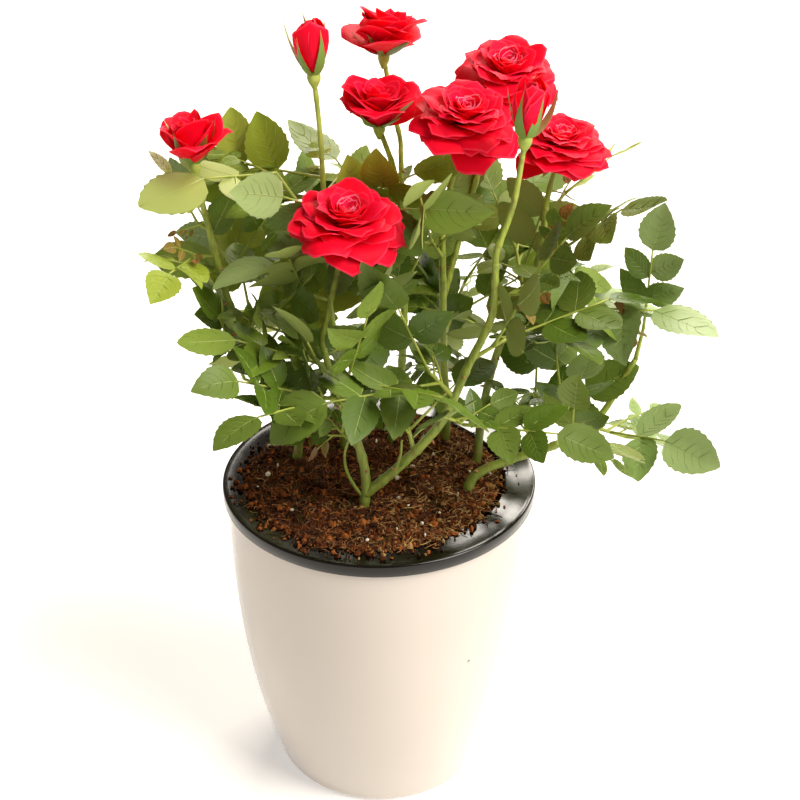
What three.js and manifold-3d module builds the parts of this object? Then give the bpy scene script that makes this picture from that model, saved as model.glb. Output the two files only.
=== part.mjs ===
// A miniature rose bush in its pot: a tapering white pot, a dark inner pot with a wide collar, the
// growing medium, canes that rise from it, sprays of compound leaves and nine roses.
// Millimetres, +Z up, +Y away from the front, origin at the centre of the pot's flat underside.
import * as THREE from "three";
import { mergeVertices } from "three/addons/utils/BufferGeometryUtils.js";
import Module from "manifold-3d";

const wasm = await Module();
wasm.setup();

const CLEARANCE = 0.3; // between pieces that touch
const SLIVER = 0.02; // edges shorter than this close up where pieces are fused
const UP = new THREE.Vector3(0, 0, 1);
const RADIAN = Math.PI / 180;
const DIVERGENCE = 144; // degrees round a stem from one rose leaf to the next

const material = (color, roughness) => new THREE.MeshStandardMaterial({ color, roughness, metalness: 0 });
const FINISH = {
  pot: material(0xf1e9dd, 0.25),
  collar: material(0x2b2725, 0.3),
  medium: material(0x5b3218, 0.95),
  cane: material(0x5f7d34, 0.55),
  foliage: material(0x4c6a2b, 0.5),
  flower: material(0xcf0a1e, 0.6),
};

const plant = new THREE.Group();

function addNode(name, geometry, finish) {
  const mesh = new THREE.Mesh(geometry, finish);
  mesh.name = name;
  plant.add(mesh);
}

// ---------------------------------------------------------------- solids

// A closed geometry as a manifold-3d solid.
function solid(geometry) {
  const bare = geometry.clone();
  bare.deleteAttribute("normal");
  bare.deleteAttribute("uv");
  const merged = mergeVertices(bare, 1e-4);
  return new wasm.Manifold(
    new wasm.Mesh({
      numProp: 3,
      vertProperties: merged.getAttribute("position").array,
      triVerts: new Uint32Array(merged.index.array),
    }),
  );
}

function geometryOf(manifold) {
  const mesh = manifold.getMesh();
  const geometry = new THREE.BufferGeometry();
  geometry.setAttribute("position", new THREE.BufferAttribute(mesh.vertProperties, 3));
  geometry.setIndex(new THREE.BufferAttribute(mesh.triVerts, 1));
  return geometry;
}

// The union of the solids without slivers, and without any scrap that touches nothing.
function fused(solids) {
  const whole = wasm.Manifold.union(solids).simplify(SLIVER);
  const bodies = solid(geometryOf(whole)).decompose();
  return bodies.reduce((best, body) => (body.volume() > best.volume() ? body : best));
}

const touches = (a, b) => a.intersect(b).volume() > 1e-6;

// ---------------------------------------------------------------- directions and seeded numbers

// A unit vector towards an azimuth (0 is +X, 90 is +Y) and a rise above the level.
function heading(azimuth, rise) {
  const level = Math.cos(rise * RADIAN);
  return new THREE.Vector3(
    level * Math.cos(azimuth * RADIAN),
    level * Math.sin(azimuth * RADIAN),
    Math.sin(rise * RADIAN),
  );
}

// A linear congruential generator: the same seed gives the same spray everywhere.
function seeded(seed) {
  let state = (seed * 7919 + 17) % 4294967296;
  return () => {
    state = (state * 1664525 + 1013904223) % 4294967296;
    return state / 4294967296;
  };
}

const spread = (random, middle, width) => middle + (random() * 2 - 1) * width;

// The part of v square to the unit vector axis, as a unit vector.
function squareTo(v, axis) {
  return v.clone().addScaledVector(axis, -v.dot(axis)).normalize();
}

const add = (point, direction, distance) => point.clone().addScaledVector(direction, distance);

// ---------------------------------------------------------------- limbs

// A tapering limb: a CylinderGeometry whose rings are carried onto the curve, with caps at both ends.
function limb(curve, radiusAt, sides, steps) {
  const geometry = new THREE.CylinderGeometry(1, 1, 1, sides, steps);
  const frames = curve.computeFrenetFrames(steps, false);
  const position = geometry.getAttribute("position");
  for (let i = 0; i < position.count; i++) {
    const share = 0.5 - position.getY(i);
    const step = Math.round(share * steps);
    const radius = radiusAt(share);
    const point = curve.getPointAt(share);
    point.addScaledVector(frames.normals[step], position.getX(i) * radius);
    point.addScaledVector(frames.binormals[step], position.getZ(i) * radius);
    position.setXYZ(i, point.x, point.y, point.z);
  }
  return solid(geometry);
}

const taper = (root, tip) => (share) => root + (tip - root) * share;

// Where a limb of this radius starts so that it stays clear of the limb that it grows from, whose
// side or tip it leaves.
function shoulder({ point, along, radius, isTip }, direction, ownRadius) {
  const slant = Math.abs(direction.dot(along));
  const square = Math.sqrt(1 - slant * slant);
  if (isTip) return add(point, along, CLEARANCE + ownRadius * square);
  return add(point, direction, (radius + CLEARANCE + ownRadius * slant) / square);
}

// ---------------------------------------------------------------- pot

const POT = {
  topRadius: 77.7,
  baseRadius: 56.3,
  footRadius: 50,
  footRound: 4.5, // height at which the foot's round meets the wall
  height: 166,
  curve: 2.64, // how late the wall turns in
  wall: 2.6,
  floor: 4,
  sides: 36,
};
const COLLAR = { radius: 80, top: 172.8, innerRadius: 64, lipRadius: 61.5, lipDrop: 3.5 };
const INNER_POT = { neckRadius: 62, neck: 158, baseRadius: 47, base: 62, wall: 1.8 };

const lathe = (points, sides) =>
  new THREE.LatheGeometry(points.map(([r, z]) => new THREE.Vector2(r, z)), sides).rotateX(Math.PI / 2);

const potRadius = (z) =>
  POT.topRadius - (POT.topRadius - POT.baseRadius) * (1 - z / COLLAR.top) ** POT.curve;

// Points down the wall between two heights, each set in from the outside.
function wallPoints(from, to, steps, inset) {
  const points = [];
  for (let i = 0; i <= steps; i++) {
    const z = from + ((to - from) * i) / steps;
    points.push([potRadius(z) - inset, z]);
  }
  return points;
}

function pot() {
  const { footRadius, footRound, height, wall, floor, sides } = POT;
  const foot = [[0, 0], [footRadius, 0], [footRadius + 4.6, 1.2]];
  const outside = wallPoints(footRound, height, 6, 0);
  const inside = [...wallPoints(height, floor + 6, 3, wall), [footRadius - wall, floor], [0, floor]];
  return lathe([...foot, ...outside, ...inside], sides);
}

// The dark inner pot: a wide collar that lies on the pot's rim, and the basket under it.
function innerPot() {
  const { radius, top, innerRadius, lipRadius, lipDrop } = COLLAR;
  const { neckRadius, neck, baseRadius, base, wall } = INNER_POT;
  const seat = POT.height + CLEARANCE;
  const outside = [[0, base], [baseRadius, base], [neckRadius, neck], [neckRadius + 2, top - lipDrop - wall]];
  const collar = [[radius - 6, seat], [radius - 0.4, seat], [radius, top - 2], [radius - 1.4, top]];
  const inside = [[innerRadius, top - 0.9], [lipRadius, top - lipDrop], [neckRadius - wall, neck]];
  const floor = [[baseRadius - wall, base + wall], [0, base + wall]];
  return lathe([...outside, ...collar, ...inside, ...floor], POT.sides);
}

// ---------------------------------------------------------------- growing medium

const MEDIUM = { crown: 5, hump: 1.6, edge: 60.6, rim: 168, sides: 24, rings: [60.6, 48, 34, 18, 0] };

// Height of the mounded surface, with a few soft humps.
function mediumTop(x, y) {
  const share = Math.min(1, Math.hypot(x, y) / MEDIUM.edge);
  const humps = Math.sin(x / 11 + 1.3) * Math.cos(y / 9 - 0.4) + 0.6 * Math.sin((x + y) / 7);
  return COLLAR.top - 1 + MEDIUM.crown * (1 - share ** 2.4) + MEDIUM.hump * humps * (1 - share ** 4);
}

function medium() {
  const { neckRadius, neck, baseRadius, base, wall } = INNER_POT;
  const gap = wall + CLEARANCE;
  const under = [[0, base + gap], [baseRadius - gap, base + gap]];
  const side = [[neckRadius - gap, neck], [MEDIUM.edge - 1.2, MEDIUM.rim]];
  const body = lathe([...under, ...side, ...MEDIUM.rings.map((r) => [r, COLLAR.top])], MEDIUM.sides);
  const position = body.getAttribute("position");
  for (let i = 0; i < position.count; i++) {
    if (position.getZ(i) > MEDIUM.rim + 1) position.setZ(i, mediumTop(position.getX(i), position.getY(i)));
  }
  return body;
}

// ---------------------------------------------------------------- canes

const CANE_SIDES = 5;
const SOCKET_DEPTH = 5; // how far a cane goes down into the medium

// Each cane by the points that it passes, its radius at the foot and at the tip, and its steps.
// One that grows from another cane names it, and its first point lies on that cane.
const CANES = {
  cane_front: { foot: 2.6, tip: 1.5, steps: 8,
    path: [[-8, -34, 172], [-6, -32, 190], [-10, -30, 211], [-20, -27, 238], [-25, -25, 258]] },
  cane_arching: { foot: 2.5, tip: 1.6, steps: 9, from: "cane_front",
    path: [[-7, -33, 182], [11, -33, 199], [30, -32, 222], [43, -31, 254], [53, -30, 279], [54, -28, 304]] },
  cane_left: { foot: 2.4, tip: 1.5, steps: 9,
    path: [[-45, 7, 172], [-41, 6, 187], [-42, 6, 204], [-58, 5, 231], [-72, 3, 270], [-80, 1, 316]] },
  cane_centre_left: { foot: 2.2, tip: 1.3, steps: 7,
    path: [[-18, 20, 172], [-20, 18, 218], [-24, 16, 264], [-25, 13, 312]] },
  cane_centre: { foot: 2.3, tip: 1.5, steps: 8,
    path: [[5, 28, 172], [11, 24, 216], [13, 20, 264], [12, 15, 303]] },
  cane_centre_fork: { foot: 1.4, tip: 1.2, steps: 4, from: "cane_centre",
    path: [[13, 19, 268], [12, 36, 300], [11, 48, 330]] },
  cane_back: { foot: 2.4, tip: 1.6, steps: 8,
    path: [[34, 30, 172], [35, 28, 190], [33, 24, 226], [32, 20, 262], [31, 16, 298]] },
  cane_back_fork: { foot: 1.5, tip: 1.3, steps: 4, from: "cane_back",
    path: [[32, 20, 262], [42, 32, 298], [51, 40, 330]] },
  cane_right: { foot: 2.6, tip: 1.3, steps: 9,
    path: [[42, -21, 172], [48, -18, 183], [66, -15, 191], [86, -14, 198], [107, -10, 210], [126, -1, 240]] },
  cane_high: { foot: 2.3, tip: 1.5, steps: 8,
    path: [[50, 10, 172], [54, 19, 205], [63, 22, 242], [73, 23, 263], [79, 23, 286], [81, 24, 310]] },
};

const vector = (point) => new THREE.Vector3(...point);

// The place, direction and radius of a cane at a height above the table.
function caneAt(name, height) {
  const { curve, radiusAt } = CANES[name];
  let low = 0;
  let high = 1;
  for (let i = 0; i < 24; i++) {
    const middle = (low + high) / 2;
    if (curve.getPointAt(middle).z < height) low = middle;
    else high = middle;
  }
  const isTip = height > curve.getPointAt(1).z;
  return { point: curve.getPointAt(low), along: curve.getTangentAt(low), radius: radiusAt(low), isTip };
}

function buildCanes() {
  for (const [name, cane] of Object.entries(CANES)) {
    const points = cane.path.map(vector);
    if (cane.from) {
      const bough = caneAt(cane.from, points[0].z);
      points[0] = shoulder(bough, points[1].clone().sub(bough.point).normalize(), cane.foot);
    } else {
      points[0].z = mediumTop(points[0].x, points[0].y) - SOCKET_DEPTH;
    }
    cane.curve = new THREE.CatmullRomCurve3(points);
    cane.radiusAt = taper(cane.foot, cane.tip);
    cane.solid = limb(cane.curve, cane.radiusAt, CANE_SIDES, cane.steps);
  }
}

// The hole in the medium that a cane stands in: its foot, grown by the clearance.
function socket(cane) {
  const start = cane.curve.getPointAt(0);
  const along = cane.curve.getTangentAt(0);
  const hole = new THREE.LineCurve3(add(start, along, -CLEARANCE), add(start, along, SOCKET_DEPTH * 3));
  return limb(hole, () => cane.foot + 0.8, CANE_SIDES, 1);
}

// ---------------------------------------------------------------- leaves

// A thin blade from its root to its tip, folded along its middle: its two sides are raised.
function blade(root, direction, normal, length, width, raise, drop) {
  const side = direction.clone().cross(normal);
  const at = (along, across, above) =>
    add(add(add(root, direction, along * length), side, across * width), normal, above * length);
  const corners = [at(0, 0, 0), at(1, 0, -drop), at(0.42, -0.5, raise), at(0.42, 0.5, raise)];
  const [base, tip, left, right] = [0, 1, 2, 3];
  const faces = [base, right, left, tip, left, right, base, left, tip, base, tip, right];
  const geometry = new THREE.BufferGeometry();
  const places = corners.flatMap((corner) => corner.toArray());
  geometry.setAttribute("position", new THREE.Float32BufferAttribute(places, 3));
  return solid(geometry.setIndex(faces));
}

const LEAF = {
  width: 0.7, // of a leaflet's length
  raise: 0.06,
  drop: 0.1,
  petiole: 0.66, // of a leaflet's length, from the stem to the first pair
  pairGap: 0.54, // of a leaflet's length, from pair to pair and to the end leaflet
  pairStep: 1.1, // from one leaflet of a pair to the other, along the stalk
  lateral: 0.84, // a side leaflet's length beside the end one's
  opening: 60, // degrees from the stalk to a side leaflet
  endDroop: 0.25,
  stalkRadius: 0.75,
  sunk: 0.3, // how far a side leaflet's root goes past the middle of the stalk
  endSunk: 2.5, // how deep the end leaflet's root goes into the stalk
};

// A compound leaf: a straight stalk, pairs of leaflets along it and one that droops at its end.
function compoundLeaf(root, direction, leafletLength, pairs, random) {
  const outward = new THREE.Vector3(direction.x, direction.y, 0);
  const tilt = outward.multiplyScalar(0.8).add(UP);
  tilt.add(new THREE.Vector3(spread(random, 0, 0.5), spread(random, -0.2, 0.5), 0));
  const normal = squareTo(tilt, direction);
  const across = direction.clone().cross(normal);
  const leaflets = [];
  for (let pair = 0; pair < pairs; pair++) {
    const place = leafletLength * (LEAF.petiole + LEAF.pairGap * pair);
    for (const hand of [-1, 1]) {
      const opening = spread(random, LEAF.opening, 8) * RADIAN;
      const way = direction.clone().multiplyScalar(Math.cos(opening));
      way.addScaledVector(across, hand * Math.sin(opening));
      const length = leafletLength * LEAF.lateral * spread(random, 1, 0.1);
      leaflets.push({ place: place + hand * LEAF.pairStep, way, normal, length, sunk: LEAF.sunk });
    }
  }
  const reach = leafletLength * (LEAF.petiole + LEAF.pairGap * pairs);
  const end = add(direction, UP, -LEAF.endDroop).normalize();
  const last = { place: reach, way: end, normal: squareTo(normal, end), length: leafletLength };
  leaflets.push({ ...last, sunk: LEAF.endSunk });
  return { root, direction, reach, leaflets };
}

// The whole leaf swung about its root: round the upright by one angle, up or down by another.
function swungLeaf({ root, direction, reach, leaflets }, [round, lift]) {
  const level = direction.clone().cross(UP).normalize();
  const turn = new THREE.Quaternion().setFromAxisAngle(UP, round * RADIAN);
  turn.multiply(new THREE.Quaternion().setFromAxisAngle(level, lift * RADIAN));
  const turned = (v) => v.clone().applyQuaternion(turn);
  return {
    root,
    reach,
    direction: turned(direction),
    leaflets: leaflets.map((one) => ({ ...one, way: turned(one.way), normal: turned(one.normal) })),
  };
}

// ---------------------------------------------------------------- the crown's space

// The space that the leaves keep to. Its rows give a height and how far leaves reach there to the
// left and to the right. Its hem and its top are heights that change from the front to the back.
const CROWN = {
  rows: [
    [164, 0, 178], [185, -25, 172], [205, -52, 156], [222, -82, 158], [240, -84, 160],
    [270, -86, 160], [300, -114, 150], [320, -114, 138], [350, -102, 120], [374, -90, 60],
  ],
  front: -92,
  back: 104,
  hem: 166,
  hemSlope: -0.66,
  top: 352,
  topSlope: -0.32,
  crest: [-92, -38], // between these a leaf stands above the top
};

function inCrown({ x, y, z }) {
  const { rows, front, back, hem, hemSlope, top, topSlope, crest } = CROWN;
  const upper = Math.max(1, rows.findIndex(([height]) => height > z));
  if (z < rows[0][0] || z > rows.at(-1)[0] || y < front || y > back) return false;
  if (z < hem + hemSlope * y) return false;
  if (z > top + topSlope * y && (x < crest[0] || x > crest[1])) return false;
  const [[low, leftLow, rightLow], [high, leftHigh, rightHigh]] = rows.slice(upper - 1, upper + 1);
  const share = (z - low) / (high - low);
  return x > leftLow + (leftHigh - leftLow) * share && x < rightLow + (rightHigh - rightLow) * share;
}

// ---------------------------------------------------------------- sprays of leaves

// Each spray: the cane that it grows from and the height there, the way its stem heads, how long
// the stem is, how many leaves it carries, the angle of the first leaf round the stem, and the
// length of its end leaflets.
const spray = (cane, height, azimuth, rise, length, leaves, phase, leaflet) =>
  ({ cane, height, azimuth, rise, length, leaves, phase, leaflet });
const SPRAYS = {
  foliage_left_tip: spray("cane_left", 294, 195, 5, 8, 1, 90, 21),
  foliage_left_upper: spray("cane_left", 276, 60, 40, 14, 2, 310, 27),
  foliage_left_inner: spray("cane_left", 254, -20, 30, 16, 2, 200, 28),
  foliage_left_middle: spray("cane_left", 244, 215, 15, 10, 2, 90, 24),
  foliage_left_low: spray("cane_left", 218, 195, 30, 12, 2, 160, 24),
  foliage_left_back: spray("cane_left", 226, 110, 35, 30, 3, 60, 32),
  foliage_top_left: spray("cane_centre_left", 296, 160, 52, 36, 3, 20, 32),
  foliage_top_back_left: spray("cane_centre_left", 300, 95, 45, 26, 3, 10, 32),
  foliage_centre_left: spray("cane_centre_left", 264, 200, 20, 20, 2, 300, 29),
  foliage_back_left: spray("cane_centre_left", 226, 110, 30, 34, 3, 140, 32),
  foliage_front_upper: spray("cane_front", 250, 175, 15, 12, 2, 100, 27),
  foliage_front_middle: spray("cane_front", 236, -100, 20, 10, 2, 30, 27),
  foliage_front_left: spray("cane_front", 232, 205, 25, 16, 2, 120, 26),
  foliage_front_low: spray("cane_front", 206, 150, 35, 14, 2, 20, 22),
  foliage_front_right: spray("cane_front", 242, -30, 15, 12, 2, 20, 26),
  foliage_centre_front: spray("cane_arching", 236, 190, 50, 16, 2, 200, 31),
  foliage_centre_low: spray("cane_arching", 206, 108, 45, 16, 2, 90, 25),
  foliage_arching_low: spray("cane_arching", 226, -50, 5, 10, 2, 60, 25),
  foliage_arching_middle: spray("cane_arching", 256, 10, 30, 14, 2, 40, 28),
  foliage_arching_upper: spray("cane_arching", 284, 0, 35, 14, 2, 240, 25),
  foliage_centre_top: spray("cane_centre", 290, 200, 45, 18, 3, 40, 30),
  foliage_centre_middle: spray("cane_centre", 250, 245, 35, 18, 2, 150, 30),
  foliage_centre_back: spray("cane_centre", 258, 90, 35, 28, 3, 30, 32),
  foliage_back_top: spray("cane_back", 286, 240, 50, 14, 2, 100, 28),
  foliage_back_middle: spray("cane_back", 240, 70, 25, 34, 3, 60, 32),
  foliage_back_low: spray("cane_back", 214, 100, 15, 26, 3, 10, 29),
  foliage_high_upper: spray("cane_high", 284, -40, 30, 12, 2, 170, 25),
  foliage_high_back: spray("cane_high", 262, 100, 40, 24, 3, 20, 31),
  foliage_high_middle: spray("cane_high", 238, -70, 30, 16, 2, 80, 27),
  foliage_right_far: spray("cane_right", 245, 300, 80, 18, 1, 250, 23),
  foliage_right_upper: spray("cane_high", 258, -28, 10, 14, 1, 90, 33),
  foliage_right_inner: spray("cane_right", 202, 110, 55, 18, 2, 0, 28),
  foliage_right_middle: spray("cane_right", 200, -60, 20, 14, 2, 20, 26),
  foliage_right_low: spray("cane_right", 208, 0, -20, 16, 2, 60, 30),
  foliage_right_back: spray("cane_right", 194, 80, 30, 26, 3, 60, 28),
  foliage_left_top: spray("cane_left", 308, 165, 20, 3, 1, 0, 14),
  foliage_high_tip: spray("cane_high", 304, 35, 40, 12, 1, 0, 20),
};
Object.values(SPRAYS).forEach((spec, place) => (spec.seed = place + 1));

const STEM = { root: 1.15, tip: 0.85, sides: 3 };
const FINER = { seed: 500, phase: 70, size: 0.56 }; // the smaller leaves between the main ones

// A leaf at a share of a straight stem's length, turned round the stem and opened from it.
function leafOn({ root, way, length }, share, turn, opening, size, pairs, random) {
  const upper = squareTo(UP, way);
  const across = way.clone().cross(upper);
  const aside = Math.sin(opening * RADIAN);
  const direction = way.clone().multiplyScalar(Math.cos(opening * RADIAN));
  direction.addScaledVector(upper, Math.cos(turn * RADIAN) * aside);
  direction.addScaledVector(across, Math.sin(turn * RADIAN) * aside);
  direction.addScaledVector(UP, 0.12).normalize();
  return compoundLeaf(add(root, way, length * share), direction, size, pairs, random);
}

// The seeded rule of a spray: a straight stem, leaves that go round it, and smaller leaves between.
function growSpray({ cane, height, azimuth, rise, length, leaves: count, phase, leaflet, seed }) {
  const random = seeded(seed);
  const way = heading(azimuth, rise);
  const root = shoulder(caneAt(cane, height), way, STEM.root);
  const stem = { root, way, length };
  const leaves = [];
  for (let k = 0; k < count; k++) {
    const turn = phase + DIVERGENCE * k + spread(random, 0, 10);
    const opening = k === count - 1 ? spread(random, 14, 6) : spread(random, 58, 8);
    const size = leaflet * spread(random, 1, 0.1);
    const pairs = random() < 0.5 ? 2 : 1;
    leaves.push(leafOn(stem, (k + 1) / count, turn, opening, size, pairs, random));
  }
  const finer = seeded(seed + FINER.seed);
  for (let k = 1; k < count; k += 2) {
    const turn = phase + FINER.phase + DIVERGENCE * k + spread(finer, 0, 20);
    const opening = spread(finer, 64, 10);
    const size = leaflet * spread(finer, FINER.size, 0.1);
    leaves.push(leafOn(stem, (k + 0.45) / count, turn, opening, size, 1, finer));
  }
  return { root, way, length, leaves };
}

// ---------------------------------------------------------------- roses

// The three forms of a rose, in shares of its width. Each ring of the closed bloom has its radius
// and height, how far it is drawn in between five petals, and by what share of a petal it is turned.
// The sepals have the height and rise at which they start, and their length and width.
const FORMS = {
  open: {
    sides: 15,
    rings: [
      [0, 0], [0.22, 0], [0.5, 0.04, 0.2, 0], [0.36, 0.1], [0.48, 0.17, 0.24, 0.5], [0.28, 0.22],
      [0.33, 0.3, 0.3, 0], [0, 0.27],
    ],
    sepals: { foot: 0.02, rise: -38, length: 0.26, width: 0.09 },
  },
  half: {
    sides: 15,
    rings: [
      [0, 0], [0.14, 0.03], [0.31, 0.17], [0.51, 0.34, 0.36, 0], [0.33, 0.31],
      [0.33, 0.45, 0.22, 0.5], [0.12, 0.48], [0, 0.46],
    ],
    sepals: { foot: 0.02, rise: 36, length: 0.44, width: 0.15 },
  },
  bud: {
    sides: 10,
    rings: [[0, 0], [0.3, 0.14], [0.47, 0.55], [0.4, 1.05, 0.2, 0], [0.16, 1.42, 0.2, 0], [0, 1.45]],
    sepals: { foot: 0.06, rise: 70, length: 1.5, width: 0.4 },
  },
};
const PETALS = 5;
const SEPALS = 5;
const SEPAL_FOLD = 0.06; // of a sepal's length
const HIP = { radius: 3.2, height: 4.4, sides: 6 };

// Each rose: its cane, the points of its stalk after the cane's tip, its width, how far it has
// opened, and the azimuth and angle by which its face leans.
const ROSES = {
  rose_front: { cane: "cane_front", stalk: [[-23, -23, 275], [-17, -20, 300], [-13, -18, 314]],
    width: 57, form: "open", lean: [-80, 10] },
  rose_left_bud: { cane: "cane_left", stalk: [[-83, 0, 340]],
    width: 30, form: "half", lean: [180, 4] },
  rose_high_bud: { cane: "cane_centre_left", stalk: [[-26, 11, 352], [-28, 10, 378]],
    width: 17, form: "bud", lean: [180, 3] },
  rose_top: { cane: "cane_centre_fork", stalk: [[7, 53, 350], [3, 54, 374]],
    width: 42, form: "half", lean: [60, 6] },
  rose_centre: { cane: "cane_centre", stalk: [[8, 19, 330], [1, 22, 350]],
    width: 42, form: "half", lean: [-100, 6] },
  rose_middle: { cane: "cane_back", stalk: [[34, 13, 323], [40, 10, 354]],
    width: 52, form: "open", lean: [-70, 16] },
  rose_upper: { cane: "cane_back_fork", stalk: [[57, 44, 350], [61, 45, 365]],
    width: 51, form: "open", lean: [-80, 16] },
  rose_right: { cane: "cane_high", stalk: [[86, 25, 336]],
    width: 48, form: "open", lean: [-60, 8] },
  rose_right_bud: { cane: "cane_arching", stalk: [[61, -27, 332], [65, -25, 361]],
    width: 17, form: "bud", lean: [10, 4] },
};

// A closed turned bloom whose rings are drawn in between the petals.
function bloom({ rings, sides }, width) {
  const body = lathe(rings.map(([r, z]) => [r * width, z * width + 1]), sides);
  const position = body.getAttribute("position");
  for (let i = 0; i < position.count; i++) {
    const [, , notch = 0, turn = 0] = rings[i % rings.length];
    const angle = (Math.floor(i / rings.length) / sides) * 2 * Math.PI;
    const petal = Math.abs(Math.cos((PETALS / 2) * angle + turn * Math.PI));
    const share = 1 - notch * (1 - petal);
    position.setXYZ(i, position.getX(i) * share, position.getY(i) * share, position.getZ(i));
  }
  return body;
}

function rose({ cane, stalk, width, form, lean }) {
  const { curve, tip } = CANES[cane];
  const start = add(curve.getPointAt(1), curve.getTangentAt(1), CLEARANCE);
  const lead = add(start, curve.getTangentAt(1), 4);
  const path = new THREE.CatmullRomCurve3([start, lead, ...stalk.map(vector)]);
  const centre = path.getPointAt(1);
  const axis = heading(lean[0], 90 - lean[1]);
  const leaning = new THREE.Quaternion().setFromUnitVectors(UP, axis);
  const placed = (geometry) => solid(geometry.applyQuaternion(leaning).translate(...centre));
  const hip = new THREE.SphereGeometry(1, HIP.sides, 4).rotateX(Math.PI / 2);
  const pieces = [
    limb(path, taper(tip, 1.2), CANE_SIDES, 3 + stalk.length),
    placed(hip.scale(HIP.radius, HIP.radius, HIP.height)),
    placed(bloom(FORMS[form], width)),
  ];
  const { foot, rise, length, width: breadth } = FORMS[form].sepals;
  for (let k = 0; k < SEPALS; k++) {
    const level = new THREE.Vector3(1, 0, 0).applyAxisAngle(UP, ((k + 0.3) / SEPALS) * 2 * Math.PI);
    level.applyQuaternion(leaning);
    const way = level.clone().multiplyScalar(Math.cos(rise * RADIAN));
    way.addScaledVector(axis, Math.sin(rise * RADIAN));
    const root = add(centre, axis, foot * width);
    pieces.push(blade(root, way, squareTo(axis, way), length * width, breadth * width, SEPAL_FOLD, 0));
  }
  return fused(pieces);
}

// ---------------------------------------------------------------- assembly

addNode("pot", pot(), FINISH.pot);
addNode("inner_pot", innerPot(), FINISH.collar);

buildCanes();
let mediumSolid = solid(medium());
for (const cane of Object.values(CANES)) if (!cane.from) mediumSolid = mediumSolid.subtract(socket(cane));
addNode("growing_medium", geometryOf(mediumSolid), FINISH.medium);
for (const [name, cane] of Object.entries(CANES)) addNode(name, geometryOf(cane.solid), FINISH.cane);

const taken = []; // the named solids that later pieces keep clear of
const take = (name, made) => taken.push({ name, made });
const isFree = (trial, name) => !taken.some((other) => other.name !== name && touches(trial, other.made));

take("growing_medium", mediumSolid);
take("inner_pot", solid(innerPot()));
for (const [name, cane] of Object.entries(CANES)) take(name, cane.solid);
for (const [name, spec] of Object.entries(ROSES)) {
  const made = rose(spec);
  take(name, made);
  addNode(name, geometryOf(made), FINISH.flower);
}

const rod = (from, way, length, radiusAt) =>
  limb(new THREE.LineCurve3(from, add(from, way, length)), radiusAt, STEM.sides, 1);
const stemOf = ({ root, way, length }, swell) =>
  rod(root, way, length, taper(STEM.root + swell, STEM.tip + swell));
const stalkOf = ({ root, direction, reach }, swell) =>
  rod(root, direction, reach, () => LEAF.stalkRadius + swell);
const bladeOf = ({ root, direction }, { place, way, normal, length, sunk }, swell) => {
  const foot = add(add(root, direction, place), way, -sunk - swell);
  const size = length + sunk + 2 * swell;
  const breadth = length * LEAF.width + 2 * swell;
  return blade(foot, way, normal, size, breadth, LEAF.raise + swell / length, LEAF.drop);
};

const tipOf = ({ root, direction }, { place, way, length }) =>
  add(add(root, direction, place), way, length);

// The same leaflet swung up, swung down and at last made smaller, for where it has no room.
function* leafletTurns(leaflet) {
  yield leaflet;
  for (const by of [0.3, -0.3, 0.6, -0.6]) {
    const way = add(leaflet.way, leaflet.normal, by).normalize();
    yield { ...leaflet, way, normal: squareTo(leaflet.normal, way) };
  }
  yield { ...leaflet, length: leaflet.length * 0.7 };
}

// The same leaf swung round and lifted by ever larger angles.
function* leafTurns(leaf) {
  for (const widest of [0, 15, 30, 50, 75]) {
    for (const round of [0, widest, -widest]) {
      for (const lift of [0, widest, -widest]) yield swungLeaf(leaf, [round, lift]);
    }
  }
}

const hasRoom = (leaf, name) =>
  leaf.leaflets.every((one) => inCrown(tipOf(leaf, one))) && isFree(stalkOf(leaf, CLEARANCE), name);

// Stems are placed first, then the stalks of their leaves, then the leaflets. What has no room is
// turned a little, and left out where that doesn't help.
const sprays = Object.entries(SPRAYS).map(([name, spec]) => {
  const grown = growSpray(spec);
  const stem = stemOf(grown, 0);
  take(name, stem);
  return { name, pieces: [stem], leaves: grown.leaves };
});
for (const spray of sprays) {
  const fits = (turned) => hasRoom(turned, spray.name);
  const placed = spray.leaves.map((leaf) => [...leafTurns(leaf)].find(fits));
  spray.leaves = placed.filter((leaf) => leaf);
  for (const leaf of spray.leaves) {
    const stalk = stalkOf(leaf, 0);
    take(spray.name, stalk);
    spray.pieces.push(stalk);
  }
}
for (const { name, pieces, leaves } of sprays) {
  for (const leaf of leaves) {
    for (const leaflet of leaf.leaflets) {
      const fits = (turned) =>
        inCrown(tipOf(leaf, turned)) && isFree(bladeOf(leaf, turned, CLEARANCE + 0.1), name);
      const placed = [...leafletTurns(leaflet)].find(fits);
      if (placed) pieces.push(bladeOf(leaf, placed, 0));
    }
  }
  const made = fused(pieces);
  take(name, made);
  addNode(name, geometryOf(made), FINISH.foliage);
}

export default plant;
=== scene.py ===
import bpy
import numpy as np
from mathutils import Matrix


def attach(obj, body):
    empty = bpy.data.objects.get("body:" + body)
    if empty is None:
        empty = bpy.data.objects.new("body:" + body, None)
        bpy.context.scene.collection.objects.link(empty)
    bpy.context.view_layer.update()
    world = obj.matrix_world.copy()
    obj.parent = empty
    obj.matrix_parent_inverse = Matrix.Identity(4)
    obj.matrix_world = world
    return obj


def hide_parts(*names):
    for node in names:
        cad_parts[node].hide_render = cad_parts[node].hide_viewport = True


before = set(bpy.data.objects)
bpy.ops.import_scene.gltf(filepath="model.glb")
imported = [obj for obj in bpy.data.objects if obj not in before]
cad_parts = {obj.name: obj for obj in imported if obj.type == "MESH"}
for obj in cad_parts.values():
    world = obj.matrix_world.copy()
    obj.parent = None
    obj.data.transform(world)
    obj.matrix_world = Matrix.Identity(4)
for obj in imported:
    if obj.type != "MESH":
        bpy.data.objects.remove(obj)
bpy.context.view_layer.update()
nodes = sorted(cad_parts)

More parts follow.
